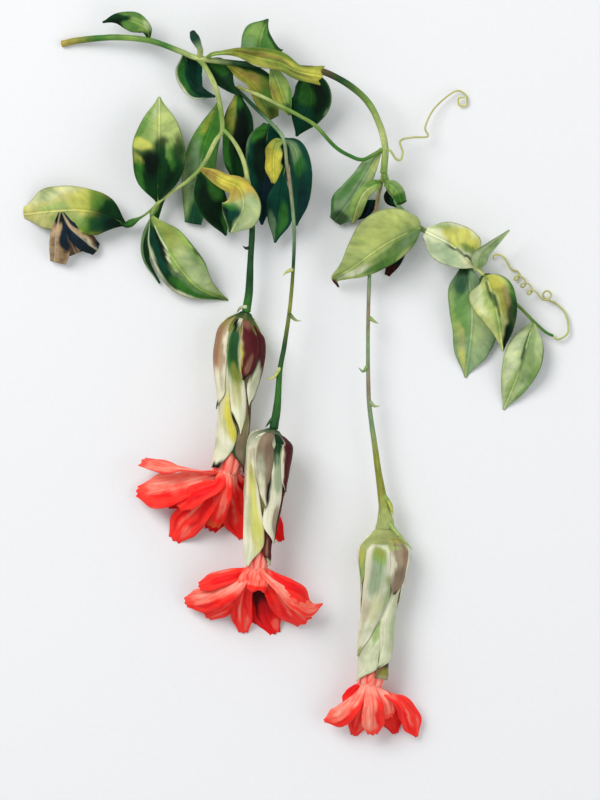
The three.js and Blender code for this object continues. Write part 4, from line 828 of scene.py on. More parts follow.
        "left": [0.6, 3.6, 5, 4.9, 2], "right": [0.6, 3.4, 4.9, 4.7, 1.8],
        "patches": [
            ("yellow", 0.5, 0, 0.6, 1, 0.5), ("lime", 0.5, 0.4, 0.3, 0.5, 0.4),
            ("ochre", 0.6, -0.9, 0.5, 0.3, 0.6), ("light", 0.15, 0, 0.2, 1, 0.6)]},
    "leaf_teal_right": {
        "slot": "leaf_teal", "base": "teal", "fold": [-10, 5],
        "rib": [[-5.5, 98.5, 26], [-0.5, 94, 22.5], [1.5, 80, 19], [0, 62.5, 13]],
        "left": [0.7, 4.6, 5.8, 5.4, 4.2, 0.5], "right": [0.7, 3, 4, 3.4, 2.4, 0.5],
        "patches": [
            ("leek", 0.3, -0.1, 0.24, 0.7, 0.5), ("sage", 0.12, -0.2, 0.2, 0.8, 0.8),
            ("navy", 0.8, 0.3, 0.3, 0.6, 0.6)]},
    "leaf_teal_low": {
        "slot": "leaf_teal", "base": "teal",
        "rib": [[-4, 89, 27], [-5.5, 83, 21], [-7, 69.5, 12.5], [-9, 55.5, 6.5]],
        "left": [0.6, 1.5, 4.5, 5.5, 0.5], "right": [0.6, 2, 5.5, 4.5, 0.5],
        "patches": [
            ("sage", 0.85, -0.5, 0.2, 0.4, 0.6), ("leek", 0.75, 0.3, 0.25, 0.4, 0.7)]},
    "leaf_fork": {
        "slot": "leaf_green", "base": "sage", "fold": [-5, -10],
        "rib": [[35.5, 94.5, 16], [30.5, 86, 12.5], [23.5, 74.5, 9], [16, 64.5, 3]],
        "left": [0.7, 2.5, 4, 6, 7, 3], "right": [0.7, 4, 5, 6.5, 7, 2.6],
        "patches": [
            ("pale", 0.2, 0.5, 0.25, 0.5, 0.8), ("leek", 0.5, -0.6, 0.3, 0.35, 0.7),
            ("light", 0.7, 0.4, 0.25, 0.5, 0.6), ("dark", 0.97, 0.1, 0.12, 1.2, 0.8),
            ("leek", 0.85, -0.95, 0.18, 0.3, 0.8)]},
    "leaf_arch_left": {
        "slot": "leaf_pale", "base": "light", "fold": [-20, -20],
        "rib": [[35.5, 80.5, 13.6], [32.6, 79.3, 17.2], [28.3, 76, 18.3], [25.2, 70, 16.5],
                [23.6, 63.5, 11]],
        "left": [1.5, 2.7, 3, 3.2, 3, 0.6], "right": [1.5, 2.7, 3, 3.2, 2.6, 0.6],
        "patches": [
            ("pale", 0.45, 0.3, 0.3, 0.5, 0.8), ("tan", 0.92, 0.3, 0.2, 0.5, 0.5),
            ("leek", 0.15, -0.5, 0.2, 0.5, 0.6)]},
    "leaf_arch_right": {
        "slot": "leaf_green", "base": "light", "fold": [-20, -20],
        "rib": [[36.9, 80.3, 13.6], [39.6, 79.2, 17.4], [42.3, 76.3, 17.3], [44.2, 71.5, 14.3]],
        "left": [1.5, 2.6, 2.9, 2.4], "right": [1.5, 2.6, 2.7, 2.2],
        "patches": [
            ("leek", 0.85, -0.2, 0.25, 1.4, 0.9), ("dark", 1, 0, 0.1, 1.5, 0.8),
            ("sage", 0.4, 0.4, 0.3, 0.4, 0.6)]},
    "leaf_shade_left": {
        "slot": "leaf_teal", "base": "black",
        "rib": [[33.9, 72.5, 8.2], [31.5, 71.5, 7.5], [28, 69, 5], [24, 65, 3]],
        "left": [1, 3, 3, 0.5], "right": [1, 3, 3, 0.5],
        "patches": [
            ("navy", 0.5, 0.2, 0.5, 0.7, 0.7), ("teal", 0.3, -0.5, 0.3, 0.4, 0.8)]},
    "leaf_shade_right": {
        "slot": "leaf_teal", "base": "black",
        "rib": [[38.6, 78, 10.5], [39, 74.5, 10.5], [42, 70.5, 9.5]],
        "left": [0.6, 3, 3, 0.6], "right": [0.6, 2.4, 2.4, 0.6],
        "patches": [
            ("teal", 0.8, 0.3, 0.4, 0.8, 0.7)]},
    "leaf_broad": {
        "slot": "leaf_pale", "base": "pale", "fold": [-12, -8],
        "rib": [[52.5, 61, 9], [50, 61, 15], [37, 54.5, 20.5], [23.5, 45, 15], [16, 40.5, 8],
                [17.5, 37, 3]],
        "left": [0.8, 8, 10, 8.5, 4, 0.5], "right": [0.8, 11, 14, 9, 3, 0.5],
        "patches": [
            ("lime", 0.35, -0.5, 0.25, 0.4, 0.3), ("light", 0.4, 0, 0.5, 1, 0.3),
            ("mid", 0.3, 0.35, 0.3, 0.3, 0.7), ("leek", 0.5, 0.8, 0.3, 0.3, 0.8),
            ("frost", 0.75, 0.45, 0.18, 0.4, 0.9), ("leek", 0.85, 0.1, 0.1, 0.5, 0.4),
            ("throat", 1, 0, 0.12, 2, 1), ("sage", 0.12, 0.5, 0.2, 0.6, 0.7),
            ("leek", 0.05, 0.9, 0.2, 0.3, 0.6)]},
    "leaf_hidden": {
        "slot": "leaf_dark", "base": "black",
        "rib": [[44.8, 68.5, 9], [43.5, 59, 5.5], [40.5, 47.5, 3], [38, 41.8, 2]],
        "left": [0.6, 3, 4.2, 3.6, 1.2],
        "patches": [
            ("throat", 0.95, 0, 0.15, 1.5, 0.4)]},
    "leaf_pale": {
        "slot": "leaf_pale", "base": "frost", "fold": [8, -10],
        "rib": [[75, 45.2, 9], [71, 49, 12.5], [64.5, 54.5, 13.5], [54, 60, 12]],
        "left": [0.8, 5, 8, 9, 7.5, 2.5], "right": [0.8, 9, 10.5, 9.5, 7.5, 2.5],
        "patches": [
            ("lime", 0.5, -0.5, 0.35, 0.45, 0.9), ("lime", 0.2, -0.7, 0.2, 0.3, 0.8),
            ("mid", 0.25, -0.35, 0.2, 0.2, 0.7), ("sage", 0.55, 0.55, 0.4, 0.5, 0.6),
            ("dark", 0.3, 0.02, 0.4, 0.09, 0.9), ("light", 0.82, -0.7, 0.2, 0.3, 0.6)]},
    "leaf_edge_on": {
        "slot": "leaf_pale", "base": "reed", "fold": [15, 15],
        "rib": [[76.5, 43.8, 9], [77.5, 50, 14.5], [81.5, 54, 17], [89, 60.5, 19]],
        "left": [0.7, 4, 3, 1.6, 0.4], "right": [0.7, 3, 2.4, 1.4, 0.4],
        "patches": [
            ("sage", 0.4, -0.6, 0.4, 0.4, 0.7), ("frost", 0.6, 0.5, 0.4, 0.4, 0.5),
            ("sage", 0.15, 0, 0.2, 1, 0.5)]},
    "leaf_hanging": {
        "slot": "leaf_green", "base": "sage", "fold": [-6, -6], "wave": 0.7,
        "rib": [[70.5, 48.6, 8.3], [72.5, 38, 8.4], [73.5, 21, 7.5], [71, -1, -0.2]],
        "left": [0.8, 5, 9, 11, 8, 0.5], "right": [0.8, 8.5, 9.5, 8, 6, 0.5],
        "patches": [
            ("mid", 0.45, -0.5, 0.35, 0.5, 0.8), ("teal", 0.14, -0.5, 0.18, 0.7, 0.8),
            ("straw", 0.72, -0.6, 0.24, 0.3, 0.45), ("lime", 0.9, -0.5, 0.14, 0.4, 0.5),
            ("dark", 0.03, 0, 0.1, 1.5, 0.9), ("reed", 0.6, 0.4, 0.3, 0.4, 0.6),
            ("light", 0.5, -0.95, 0.4, 0.2, 0.6)]},
    "leaf_folded": {
        "slot": "leaf_yellow", "base": "pale", "fold": [-25, -20],
        "rib": [[78.2, 42, 9.1], [80.2, 39, 13.8], [84, 25, 16], [86.5, 10, 8]],
        "left": [2.5, 9, 9.8, 8.5, 5.5, 0.5], "right": [2.5, 10.5, 10.5, 7.5, 3, 0.5],
        "patches": [
            ("light", 0.5, -0.2, 0.4, 0.3, 0.6), ("frost", 0.3, -0.6, 0.3, 0.4, 0.5),
            ("olive", 0.35, 0.35, 0.3, 0.2, 0.9), ("brown", 0.46, 0.6, 0.3, 0.2, 0.6),
            ("lime", 0.14, 0.4, 0.14, 0.3, 0.6), ("leek", 0.3, 1, 0.4, 0.3, 0.9),
            ("dark", 0.34, 0.05, 0.34, 0.08, 0.8), ("black", 0.85, 0.6, 0.24, 0.5, 1),
            ("dark", 0.62, 0.85, 0.28, 0.4, 0.9), ("dark", 0.02, 0, 0.06, 1.5, 0.9)]},
    "leaf_last": {
        "slot": "leaf_green", "base": "reed", "fold": [-10, -10],
        "rib": [[99.5, 22.5, 5], [97, 14.5, 8.5], [93.5, 2, 7.5], [87, -14.5, 0]],
        "left": [1, 6.5, 8.3, 7.2, 4.5, 0.5], "right": [1, 6, 8.2, 7.2, 4.4, 0.5],
        "patches": [
            ("leek", 0.4, 0.35, 0.35, 0.3, 0.4), ("frost", 0.45, -0.6, 0.4, 0.4, 0.5),
            ("dark", 0.25, 0, 0.35, 0.09, 0.8), ("mid", 0.65, 0.8, 0.3, 0.3, 0.7),
            ("dark", 0.6, 1.05, 0.5, 0.14, 0.7), ("light", 0.75, -0.1, 0.25, 0.3, 0.6)]},
}

# The withered lower part of the left leaflet: three flaps folded down from its midrib

WITHERED_FLAPS = [
    {
        "base": "tan", "turn": [12],
        "rib": [[-99, 68, 11.6], [-100, 62.5, 13], [-101, 56, 10], [-101.5, 47.5, 2.5]],
        "left": [0.8, 4, 6, 6.5, 5], "right": [0.8, 2, 2.5, 2.5, 2],
        "patches": [
            ("navy", 0.35, 0.75, 0.5, 0.4, 1), ("black", 0.05, 0, 0.2, 1.5, 1),
            ("taupe", 0.7, -0.4, 0.3, 0.4, 0.5), ("brown", 0.85, 0.5, 0.25, 0.4, 0.6)]},
    {
        "base": "navy",
        "rib": [[-98.4, 68, 11.4], [-97, 62, 10.5], [-95, 56.5, 7], [-92.5, 51, 2.5]],
        "left": [0.8, 3, 4.5, 4.5, 3], "right": [0.8, 3, 4.5, 4.5, 3],
        "patches": [
            ("black", 0.3, 0, 0.3, 1, 0.8), ("brown", 0.8, -0.3, 0.3, 0.5, 0.8),
            ("tan", 0.9, 0.4, 0.2, 0.3, 0.7)]},
    {
        "base": "navy", "fold": [-20, -20], "turn": [-15],
        "rib": [[-98, 68, 11.6], [-95, 62, 13], [-89.5, 57, 9.5], [-83.5, 52.5, 3.8]],
        "left": [0.8, 3, 4, 4.6, 3], "right": [0.8, 3, 4, 4.4, 3],
        "patches": [
            ("tan", 0.5, 0.25, 0.5, 0.3, 1), ("brown", 0.75, 0.7, 0.2, 0.4, 0.6),
            ("black", 0.9, -0.4, 0.2, 0.6, 0.6), ("frost", 0.75, 0.05, 0.2, 0.12, 0.7)]},
]

# Flower heads. The axis runs from the stalk to the mouth. A bract is (from, to, left edge, right edge,
# layer, colour, patches): from and to are shares of the axis, an edge is its bearing in degrees at even
# steps, 0 on top and plus to the right, and layer 3 lies on the outside.

# Maroon, throat and black on the bracts are partly painted shade: on the bracts to the right, at plus
# bearings, which is each head's shaded side, and at tips and edges where one bract lies on another.
HEADS = {
    1: {
        "axis": [[-21.1, 26.1, 10.5], [-23.3, 18, 9.8], [-23.6, 10.5, 9.6], [-25, -4, 9.7],
                 [-26.6, -25, 11], [-29, -40, 12.6]],
        "radii": [2.4, 6.9, 9.5, 10.6, 11, 10.8, 10.1, 9.2, 8.3, 7.8, 7.7, 7.5, 7.3, 7.1, 6.9, 6.8, 6.6],
        "bracts": [
            (0.04, 0.62, [-47, -100, -100, -100, -100, -100, -82, -76],
             [-45, -30, -30, -30, -30, -33, -39, -76], 3, "rose",
             [("cream", 0.85, 0.2, 0.34, 1.2, 0.9), ("beige", 0.35, 0.8, 0.5, 0.3, 0.6),
              ("tan", 0.3, 0.4, 0.3, 0.3, 0.3), ("brown", 0.22, -0.2, 0.34, 0.9, 0.5),
              ("olive", 0.04, 0, 0.12, 1.5, 0.5), ("cream", 0.5, 0.98, 0.5, 0.16, 0.9),
              ("black", 1, 0.3, 0.1, 1.5, 1)]),
            (0.04, 0.77, [-35, -29, -29, -27, -21, -17, -6, 25], [-3, 1, 1, 6, 23, 37, 38, 27], 2.5,
             "cream",
             [("leek", 0.34, 0, 0.34, 1.2, 1), ("stem_dark", 0.3, 0.1, 0.3, 0.8, 0.9),
              ("straw", 0.3, -1.02, 0.45, 0.12, 0.8), ("cream", 0.3, 1.05, 0.42, 0.12, 0.8),
              ("black", 0.06, -0.3, 0.07, 0.6, 1), ("olive", 0.5, 0, 0.16, 0.7, 0.7),
              ("straw", 0.66, -0.1, 0.14, 0.7, 0.7), ("frost", 0.85, 0.2, 0.14, 0.6, 0.7),
              ("black", 0.92, -1, 0.1, 0.35, 1)]),
            (0.04, 0.43, [-7, 0, 1, 0, 0, 2, 6, 15], [31, 40, 50, 51, 50, 44, 34, 18], 3, "maroon",
             [("lime", 0.7, -1, 0.45, 0.35, 1), ("beige", 0.5, -1, 0.5, 0.2, 0.9),
              ("rose", 0, -0.2, 0.16, 1.4, 0.4), ("rose", 0.75, 0.1, 0.2, 0.4, 0.5),
              ("throat", 0.35, 0.3, 0.25, 0.4, 0.6), ("black", 1, 0.6, 0.12, 1, 1)]),
            (0.06, 0.59, [43, 43, 43, 43, 37, 32, 36, 48], [52, 94, 100, 100, 100, 100, 82, 50], 2.7,
             "throat",
             [("cream", 0.8, -0.4, 0.32, 0.9, 1), ("frost", 0.62, -0.6, 0.2, 0.4, 0.8),
              ("maroon", 0.3, 0.2, 0.25, 0.5, 0.7), ("black", 0.5, -1, 0.25, 0.25, 0.8),
              ("black", 1, 0.5, 0.05, 1.2, 0.9)]),
            (0.22, 1, [-100, -100, -100, -100, -100, -100, -80, -82], [-18, -18, -18, -17, -7, 16, 6, -31],
             1.6, "cream",
             [("straw", 0.45, 0.3, 0.3, 0.5, 0.7), ("yellow", 0.6, 0.75, 0.24, 0.32, 1),
              ("grey", 0.6, -0.85, 0.4, 0.25, 0.6), ("beige", 0.35, -0.1, 0.2, 0.4, 0.5),
              ("frost", 0.86, -0.3, 0.1, 0.6, 0.6), ("black", 1, 0.3, 0.07, 1.3, 1)]),
            (0.3, 1, [25, 25, 25, 25, 25, 15, 10, 82], [66, 66, 66, 67, 76, 73, 76, 82], 1.2, "taupe",
             [("stem_dark", 0.75, -1, 0.4, 0.35, 1), ("olive", 0.5, -0.35, 0.2, 0.3, 0.6),
              ("maroon", 0.35, 0.5, 0.2, 0.5, 0.9), ("grey", 0.75, 0.4, 0.25, 0.5, 0.7),
              ("black", 1, 0, 0.05, 1.2, 1)]),
        ],
    },
    2: {
        "axis": [[-9.6, -22.9, 18], [-11, -28, 18], [-11.5, -33.5, 18], [-13.5, -50.5, 18],
                 [-16, -69.5, 18], [-16.6, -80, 18]],
        "radii": [2.6, 8.4, 9.6, 9.6, 9.3, 9.1, 8.9, 8.7, 8.5, 8.2, 7.7, 7.2, 6.8, 6.4, 6, 5.8, 5.6],
        "bracts": [
            (0.04, 1, [-34, -100, -100, -100, -100, -100, -82, -51], [-26, -42, -35, -18, -4, 16, 19, -37],
             2.2, "cream",
             [("lime", 0.5, 0.45, 0.36, 0.45, 0.8), ("yellow", 0.5, 0.75, 0.28, 0.2, 0.4),
              ("lime", 0.8, 0.6, 0.18, 0.4, 0.7), ("reed", 0.62, 0.1, 0.2, 0.2, 0.5),
              ("grey", 0.35, -0.7, 0.4, 0.25, 0.5), ("frost", 0.93, 0, 0.1, 1, 0.7),
              ("taupe", 0.12, 0.6, 0.1, 0.4, 0.4), ("olive", 0.3, 0.6, 0.1, 0.3, 0.5)]),
            (0.03, 0.56, [-26, -38, -40, -38, -31, -21, -10, 8], [8, 10, 12, 14, 12, 10, 9, 11], 3, "taupe",
             [("grey", 0.5, -0.2, 0.28, 0.6, 0.7), ("cream", 0.82, -0.3, 0.26, 0.8, 0.8),
              ("cream", 0.3, -1, 0.5, 0.3, 0.8), ("black", 0.8, 1, 0.25, 0.35, 1),
              ("maroon", 0.22, 0.5, 0.15, 0.4, 0.3)]),
            (0.03, 0.83, [8, 11, 13, 11, 8, 5, 14, 73], [55, 35, 40, 54, 63, 63, 72, 82], 2.6, "cream",
             [("dark", 0.07, 0, 0.15, 2, 1), ("stem_dark", 0.2, -0.1, 0.13, 0.8, 0.9),
              ("sage", 0.36, 0.2, 0.2, 0.8, 0.7), ("reed", 0.24, 0.8, 0.2, 0.25, 0.7),
              ("black", 0.52, -1, 0.2, 0.3, 1), ("brown", 0.8, 0.5, 0.18, 0.4, 0.7),
              ("throat", 0.85, 1, 0.2, 0.25, 0.9)]),
            (0.03, 0.44, [27, 36, 33, 33, 35, 41, 51, 73], [100, 100, 100, 100, 100, 100, 82, 82], 3,
             "throat",
             [("cream", 0.5, -1, 0.7, 0.34, 1), ("black", 0.25, 0.6, 0.4, 0.5, 0.8),
              ("maroon", 0.5, 0.2, 0.3, 0.4, 0.7)]),
            (0.3, 0.82, [52, 52, 53, 54, 56, 61, 71, 82], [100, 100, 100, 100, 100, 100, 86, 82], 1.9,
             "throat",
             [("black", 0.5, 0.6, 0.5, 0.5, 0.6), ("maroon", 0.5, -0.3, 0.4, 0.3, 0.5)]),
            (0.5, 0.99, [23, 23, 23, 23, 25, 25, 27, 62], [78, 78, 78, 79, 82, 82, 82, 75], 1.2, "maroon",
             [("throat", 0.5, 0.4, 0.4, 0.5, 0.8), ("rose", 0.75, -0.4, 0.15, 0.3, 0.6),
              ("frost", 1, -0.2, 0.08, 1.5, 1)]),
        ],
    },
    3: {
        "axis": [[37, -64.4, 10.2], [36.6, -72.5, 9.2], [36, -84, 9.2], [34, -103, 9.9],
                 [32.5, -117.5, 10.9], [31, -129, 11.8]],
        "radii": [4, 7.4, 10.4, 10.7, 10.1, 9.3, 8.7, 8.2, 7.9, 7.9, 8, 7.9, 7.7, 7.3, 6.9, 6.7, 6.6],
        "bracts": [
            (0.07, 0.37, [-59, -100, -100, -100, -100, -100, -75, -67],
             [-41, -45, -48, -49, -51, -53, -57, -65], 2, "light",
             [("cream", 0.03, 0, 0.14, 1.5, 0.9), ("lime", 0.4, 0.4, 0.3, 0.5, 0.6),
              ("leek", 0.65, -0.3, 0.3, 0.5, 0.5)]),
            (0.09, 0.84, [-40, -48, -57, -71, -76, -73, -82, -71], [15, 18, 22, 28, 17, -2, -24, -61], 3,
             "cream",
             [("grey", 0.5, 0.2, 0.6, 1, 0.6), ("light", 0.12, 0.1, 0.1, 0.55, 1),
              ("olive", 0.07, 0.1, 0.06, 0.5, 0.6), ("sage", 0.32, 0.1, 0.18, 0.55, 0.7),
              ("straw", 0.58, 0.35, 0.12, 0.4, 0.5), ("rose", 0.62, -0.3, 0.14, 0.4, 0.3),
              ("light", 0.42, 0.8, 0.22, 0.16, 0.8), ("frost", 0, 0, 0.04, 1.3, 1),
              ("olive", 1, 0.4, 0.07, 1, 0.8)]),
            (0.05, 0.42, [10, 10, 10, 12, 14, 18, 26, 39], [100, 100, 100, 100, 100, 98, 68, 44], 2.4,
             "taupe",
             [("beige", 0.3, -0.3, 0.3, 0.4, 0.6), ("rose", 0.35, 0.2, 0.25, 0.4, 0.5),
              ("cream", 0.35, -0.9, 0.45, 0.25, 0.8), ("lime", 0.02, -0.3, 0.1, 1, 0.6),
              ("throat", 1, 0.4, 0.08, 1.4, 0.9)]),
            (0.36, 0.91, [33, 32, 20, 9, 8, 13, 19, 16], [100, 100, 100, 100, 100, 100, 82, 19], 1.8,
             "frost",
             [("throat", 0.13, 0.7, 0.12, 0.6, 1), ("sage", 0.5, 0.2, 0.25, 0.4, 0.3),
              ("cream", 0.5, -0.7, 0.4, 0.3, 0.6), ("taupe", 0.45, 1, 0.5, 0.22, 0.7),
              ("throat", 1, 0.3, 0.04, 1.5, 0.9)]),
            (0.42, 1, [-37, -37, -37, -37, -45, -83, -62, -64], [36, 36, 34, 30, 26, 20, 12, -56], 1.4,
             "frost",
             [("light", 0.45, 0.15, 0.15, 0.35, 0.8), ("grey", 0.7, -0.4, 0.2, 0.35, 0.6),
              ("cream", 0.9, -0.3, 0.12, 0.5, 0.6)]),
            (0.7, 0.97, [17, 17, 17, 17, 17, 16, 13, 10], [100, 100, 100, 100, 100, 100, 94, 82], 0.8,
             "brown",
             [("black", 0.5, 0.2, 0.24, 1, 0.9), ("olive", 0.88, 0.2, 0.2, 0.9, 0.9),
              ("beige", 1, 0, 0.1, 0.9, 0.6)]),
        ],
    },
}

# The core under the bracts: how far it lies inside each of a head's radii, and its colours toward the mouth

CORE_INSETS = [0.1] * 3 + [1.4] * 10 + [3.4] * 4
# Where the core shows between bracts, its darker colours are painted shade in the gaps
CORE_COLOURS = {
    1: ["stem_dark", "olive", "olive", "olive", "maroon", "lime", "salmon"],
    2: ["stem_dark", "cream", "olive", "olive", "maroon", "maroon", "throat"],
    3: ["pale", "pale", "olive", "olive", "sage", "sage", "brown"],
}

# The bracts on the underside: (bearing, reach, spread, layer). They are all painted alike.

UNDERSIDE_BRACTS = [(115, 0.5, 42, 3), (-115, 0.55, 42, 2.8), (180, 0.62, 44, 2.4), (-145, 0.85, 50, 1.8),
                    (150, 1, 62, 1)]
UNDERSIDE_PATCHES = [("light", 0.3, 0, 0.3, 0.5, 0.6), ("taupe", 0.6, 0.6, 0.4, 0.4, 0.5)]

# Ray florets: (rib, half width, share of it at the tip, look)

RAYS = {
    1: [
        ([[-33.5, -41, 13.5], [-38, -40.3, 16], [-46, -39, 17.5], [-56, -37.4, 15], [-64.2, -35.8, 11]],
         4.8, 0.7, "band"),
        ([[-33.3, -41.5, 12], [-41, -43.5, 15], [-50.5, -46.5, 13], [-58, -48, 9], [-66.6, -48.6, 4]], 8,
         0.3, "pale"),
        ([[-32, -41.2, 16], [-34, -45.5, 18.5], [-42, -49, 18.3], [-49.5, -54.5, 14]], 5.4, 0.5, "hood"),
        ([[-32, -42, 14.5], [-34, -47.5, 15.5], [-41.5, -56.5, 12], [-47, -62.5, 6.5], [-51.5, -69, 0.4]],
         6.8, 0.4, "red"),
        ([[-29.5, -41.3, 17.2], [-30, -47.5, 18.5], [-33, -56, 14.5], [-34.9, -63.5, 8]], 4.6, 0.6,
         "centre"),
        ([[-26.5, -42, 15.5], [-26.8, -48.5, 14.5], [-25.5, -58, 7.5], [-21.8, -68.4, 1]], 6.6, 0.4, "red"),
        ([[-25, -42.5, 12.5], [-20, -50.5, 6], [-12, -60.5, 2.5], [-6.5, -69.5, 0.2]], 5, 0.3, "deep"),
        ([[-25, -42.5, 11.5], [-21, -47, 7.5], [-13, -51, 3.5]], 4, 0.4, "deep"),
        ([[-33, -41.2, 10], [-41, -50, 5], [-54, -55, 0.3]], 5, 0.4, "deep"),
        ([[-29.5, -42, 8.3], [-30, -52, 4], [-36, -65, 0.2]], 5, 0.5, "deep"),
    ],
    2: [
        ([[-20.2, -81.6, 17.5], [-28, -84, 19], [-34.5, -86, 17.5], [-40.6, -88.4, 14]], 3.8, 0.5, "hood"),
        ([[-19.4, -81.7, 20], [-26, -88.5, 20], [-33, -92.5, 16], [-40, -94.8, 11], [-46.4, -95.6, 5]], 5.6,
         0.4, "pale"),
        ([[-19.6, -81.7, 16], [-24, -92, 13], [-31, -98, 8], [-37.5, -101.5, 3]], 4.8, 0.6, "red"),
        ([[-18.5, -81.9, 17], [-22, -91, 15.5], [-23.2, -99.5, 9], [-22.4, -108, 1]], 4.6, 0.45, "red"),
        ([[-16, -82, 14.8], [-15, -93.5, 8.5], [-12.5, -102, 4], [-9.2, -108.3, 0.4]], 6, 0.4, "throat"),
        ([[-16.9, -81.8, 21.3], [-17.5, -84, 22.2], [-18.2, -86.8, 22.4], [-18.6, -89.6, 21.4]], 6.6, 0.9,
         "lip"),
        ([[-14, -82, 19], [-8, -91.5, 17], [-2, -99, 11], [3.2, -104, 4]], 6.4, 0.6, "red"),
        ([[-13.2, -82, 17.5], [-4, -88.5, 20], [1.5, -91.5, 17.5], [5.3, -96.5, 13]], 4.6, 0.4, "hood"),
        ([[-14.2, -81.9, 20.7], [-8, -88, 22.5], [0, -95, 18], [6, -98.3, 13], [10.8, -96, 10]], 3.6, 0.12,
         "band"),
        ([[-16.7, -81.8, 14.4], [-17.5, -92, 4], [-17, -104, 0.2]], 5.4, 0.5, "throat"),
    ],
    3: [
        ([[26.4, -130.4, 10], [23, -134, 9.5], [20.4, -138.4, 7]], 3, 0.4, "deep"),
        ([[27.8, -130.2, 15], [24, -137.5, 15.5], [18, -143.3, 11.5], [11.8, -145.1, 7]], 4.6, 0.15,
         "pale"),
        ([[28.3, -130.8, 10], [27.5, -139, 8.5], [24.3, -151.2, 0.4]], 4.2, 0.35, "red"),
        ([[31, -130.6, 16.3], [32.2, -138, 17.5], [32.2, -144.5, 14], [32, -150.5, 9]], 5, 0.45, "pale"),
        ([[33.6, -130.9, 15.2], [37, -137, 15], [37.8, -143.6, 11.5]], 4.6, 0.6, "band"),
        ([[34, -131.5, 9], [38, -140, 6], [41.4, -150.4, 0.4]], 4.2, 0.3, "deep"),
        ([[35.2, -131.4, 12.5], [43, -136, 13.5], [48, -143, 9], [50.6, -151.6, 3]], 5, 0.15, "red"),
        ([[31, -131.1, 7.5], [31, -141, 3.5], [33, -149.5, 0.2]], 5, 0.4, "deep"),
    ],
}
RAY_PROFILE = [0.3, 0.52, 0.78, 0.94, 1, 0.96]

# A look is the colour of a ray floret and the patches over it

# The deep look, on florets that lie under others, and the deep streaks are partly painted shade; salmon
# streaks on red florets are partly painted highlights; the throat look paints the shade in a throat.
RAY_LOOKS = {
    "pale": ("salmon", [
        ("blush", 0.2, 0, 0.25, 1.5, 0.8), ("red", 0.65, 0.7, 0.45, 0.5, 1), ("red", 1, 0, 0.12, 1.5, 0.8),
        ("deep", 0.72, 0.4, 0.18, 0.14, 0.8), ("blush", 0.6, -0.4, 0.25, 0.25, 0.8),
        ("deep", 0.4, 0.95, 0.3, 0.2, 0.8)]),
    "band": ("salmon", [
        ("blush", 0.3, 0.3, 0.3, 0.6, 0.9), ("red", 0.75, -0.7, 0.3, 0.3, 0.8),
        ("deep", 0.5, 0.95, 0.5, 0.2, 0.8), ("red", 1, 0, 0.1, 2, 0.7)]),
    "red": ("red", [
        ("blush", 0.06, 0, 0.16, 2, 0.8), ("salmon", 0.2, 0, 0.14, 1, 0.6),
        ("deep", 0.48, 0.4, 0.3, 0.14, 1), ("deep", 0.7, -0.45, 0.25, 0.16, 1),
        ("salmon", 0.55, -0.12, 0.3, 0.12, 0.8), ("salmon", 0.84, 0.4, 0.14, 0.22, 0.6),
        ("deep", 0.42, -0.85, 0.25, 0.2, 0.8)]),
    "centre": ("red", [
        ("blush", 0.08, 0, 0.2, 2, 0.9), ("salmon", 0.55, 0.3, 0.3, 0.3, 0.9),
        ("deep", 0.4, -0.5, 0.25, 0.25, 0.9), ("orange", 1, 0, 0.1, 2, 0.9)]),
    "hood": ("red", [
        ("deep", 0.5, 0.2, 0.4, 0.4, 1), ("salmon", 0.05, 0, 0.16, 2, 0.8),
        ("red", 0.75, -0.5, 0.3, 0.3, 0.8), ("salmon", 0.6, -0.9, 0.3, 0.2, 0.7)]),
    "deep": ("deep", [
        ("red", 0.6, 0.2, 0.35, 0.5, 0.9), ("salmon", 0.03, 0, 0.15, 2, 0.7),
        ("red", 0.85, -0.4, 0.2, 0.4, 0.8)]),
    "lip": ("salmon", [
        ("blush", 0.3, 0.1, 0.3, 0.5, 0.7), ("deep", 0.5, 0.42, 0.3, 0.1, 0.8),
        ("deep", 0.5, -0.5, 0.3, 0.1, 0.7), ("red", 0.94, 0, 0.16, 2, 1)]),
    "throat": ("deep", [
        ("throat", 0.36, 0, 0.4, 1, 1), ("throat", 0.6, -0.05, 0.3, 0.16, 1),
        ("throat", 0.58, 0.3, 0.28, 0.12, 1), ("throat", 0.56, -0.42, 0.28, 0.12, 1),
        ("deep", 0.7, 0.1, 0.24, 0.5, 0.7), ("salmon", 0.9, 0.5, 0.1, 0.4, 0.5)]),
}

# Steps along a head's axis, rows of faces for a bract as long as the axis, least rows, and faces across

AXIS_STEPS = 200
BRACT_ROWS = 70
LEAST_BRACT_ROWS = 18
BRACT_COLUMNS = 14

# The pleated cup that the ray florets grow from, whose wall lies CUP_INSET inside the last radius of the
# head. Its profile is (distance from the mouth, more radius), from its foot under the bracts to the lip,
# which is the fifth, and down into the throat.

CUP_PROFILE = [(-7, 0.4), (-3, 0), (0.3, -0.6), (1.6, -1.1), (1.8, -1.5), (0.5, -1.9), (-1, -2.2)]
CUP_INSET = 1.1
CUP_LIP = 4
CUP_SIDES = 64
CUP_PLEATS = 8

# A ray floret: how far it starts inside the cup, and the distance from one row of faces to the next

RAY_FOOT = 2.6
RAY_STEP = 0.7

# The disc: how far its florets stand out of the mouth, their spread, and the turn from one to the next

DISC_REACH = 7
DISC_SPREAD = 1.9
DISC_TURN = 2.4

# The stage, in metres

FLOOR_DROP = 0.0001
KEY_SIZE = 1.1
KEY_PLACE = (-0.9, 0.9, 1.5)
FILL_SIZE = 1.6
FILL_PLACE = (1.4, -0.3, 1.3)
SKY_COLOUR = (0.93, 0.96, 1.0)
VIEW_MIDDLE = (0.00147, -0.0105)
CAMERA_REACH = 20

# Width of the camera's sensor in millimetres

SENSOR = 36

# Shapes of the flower heads and the coil


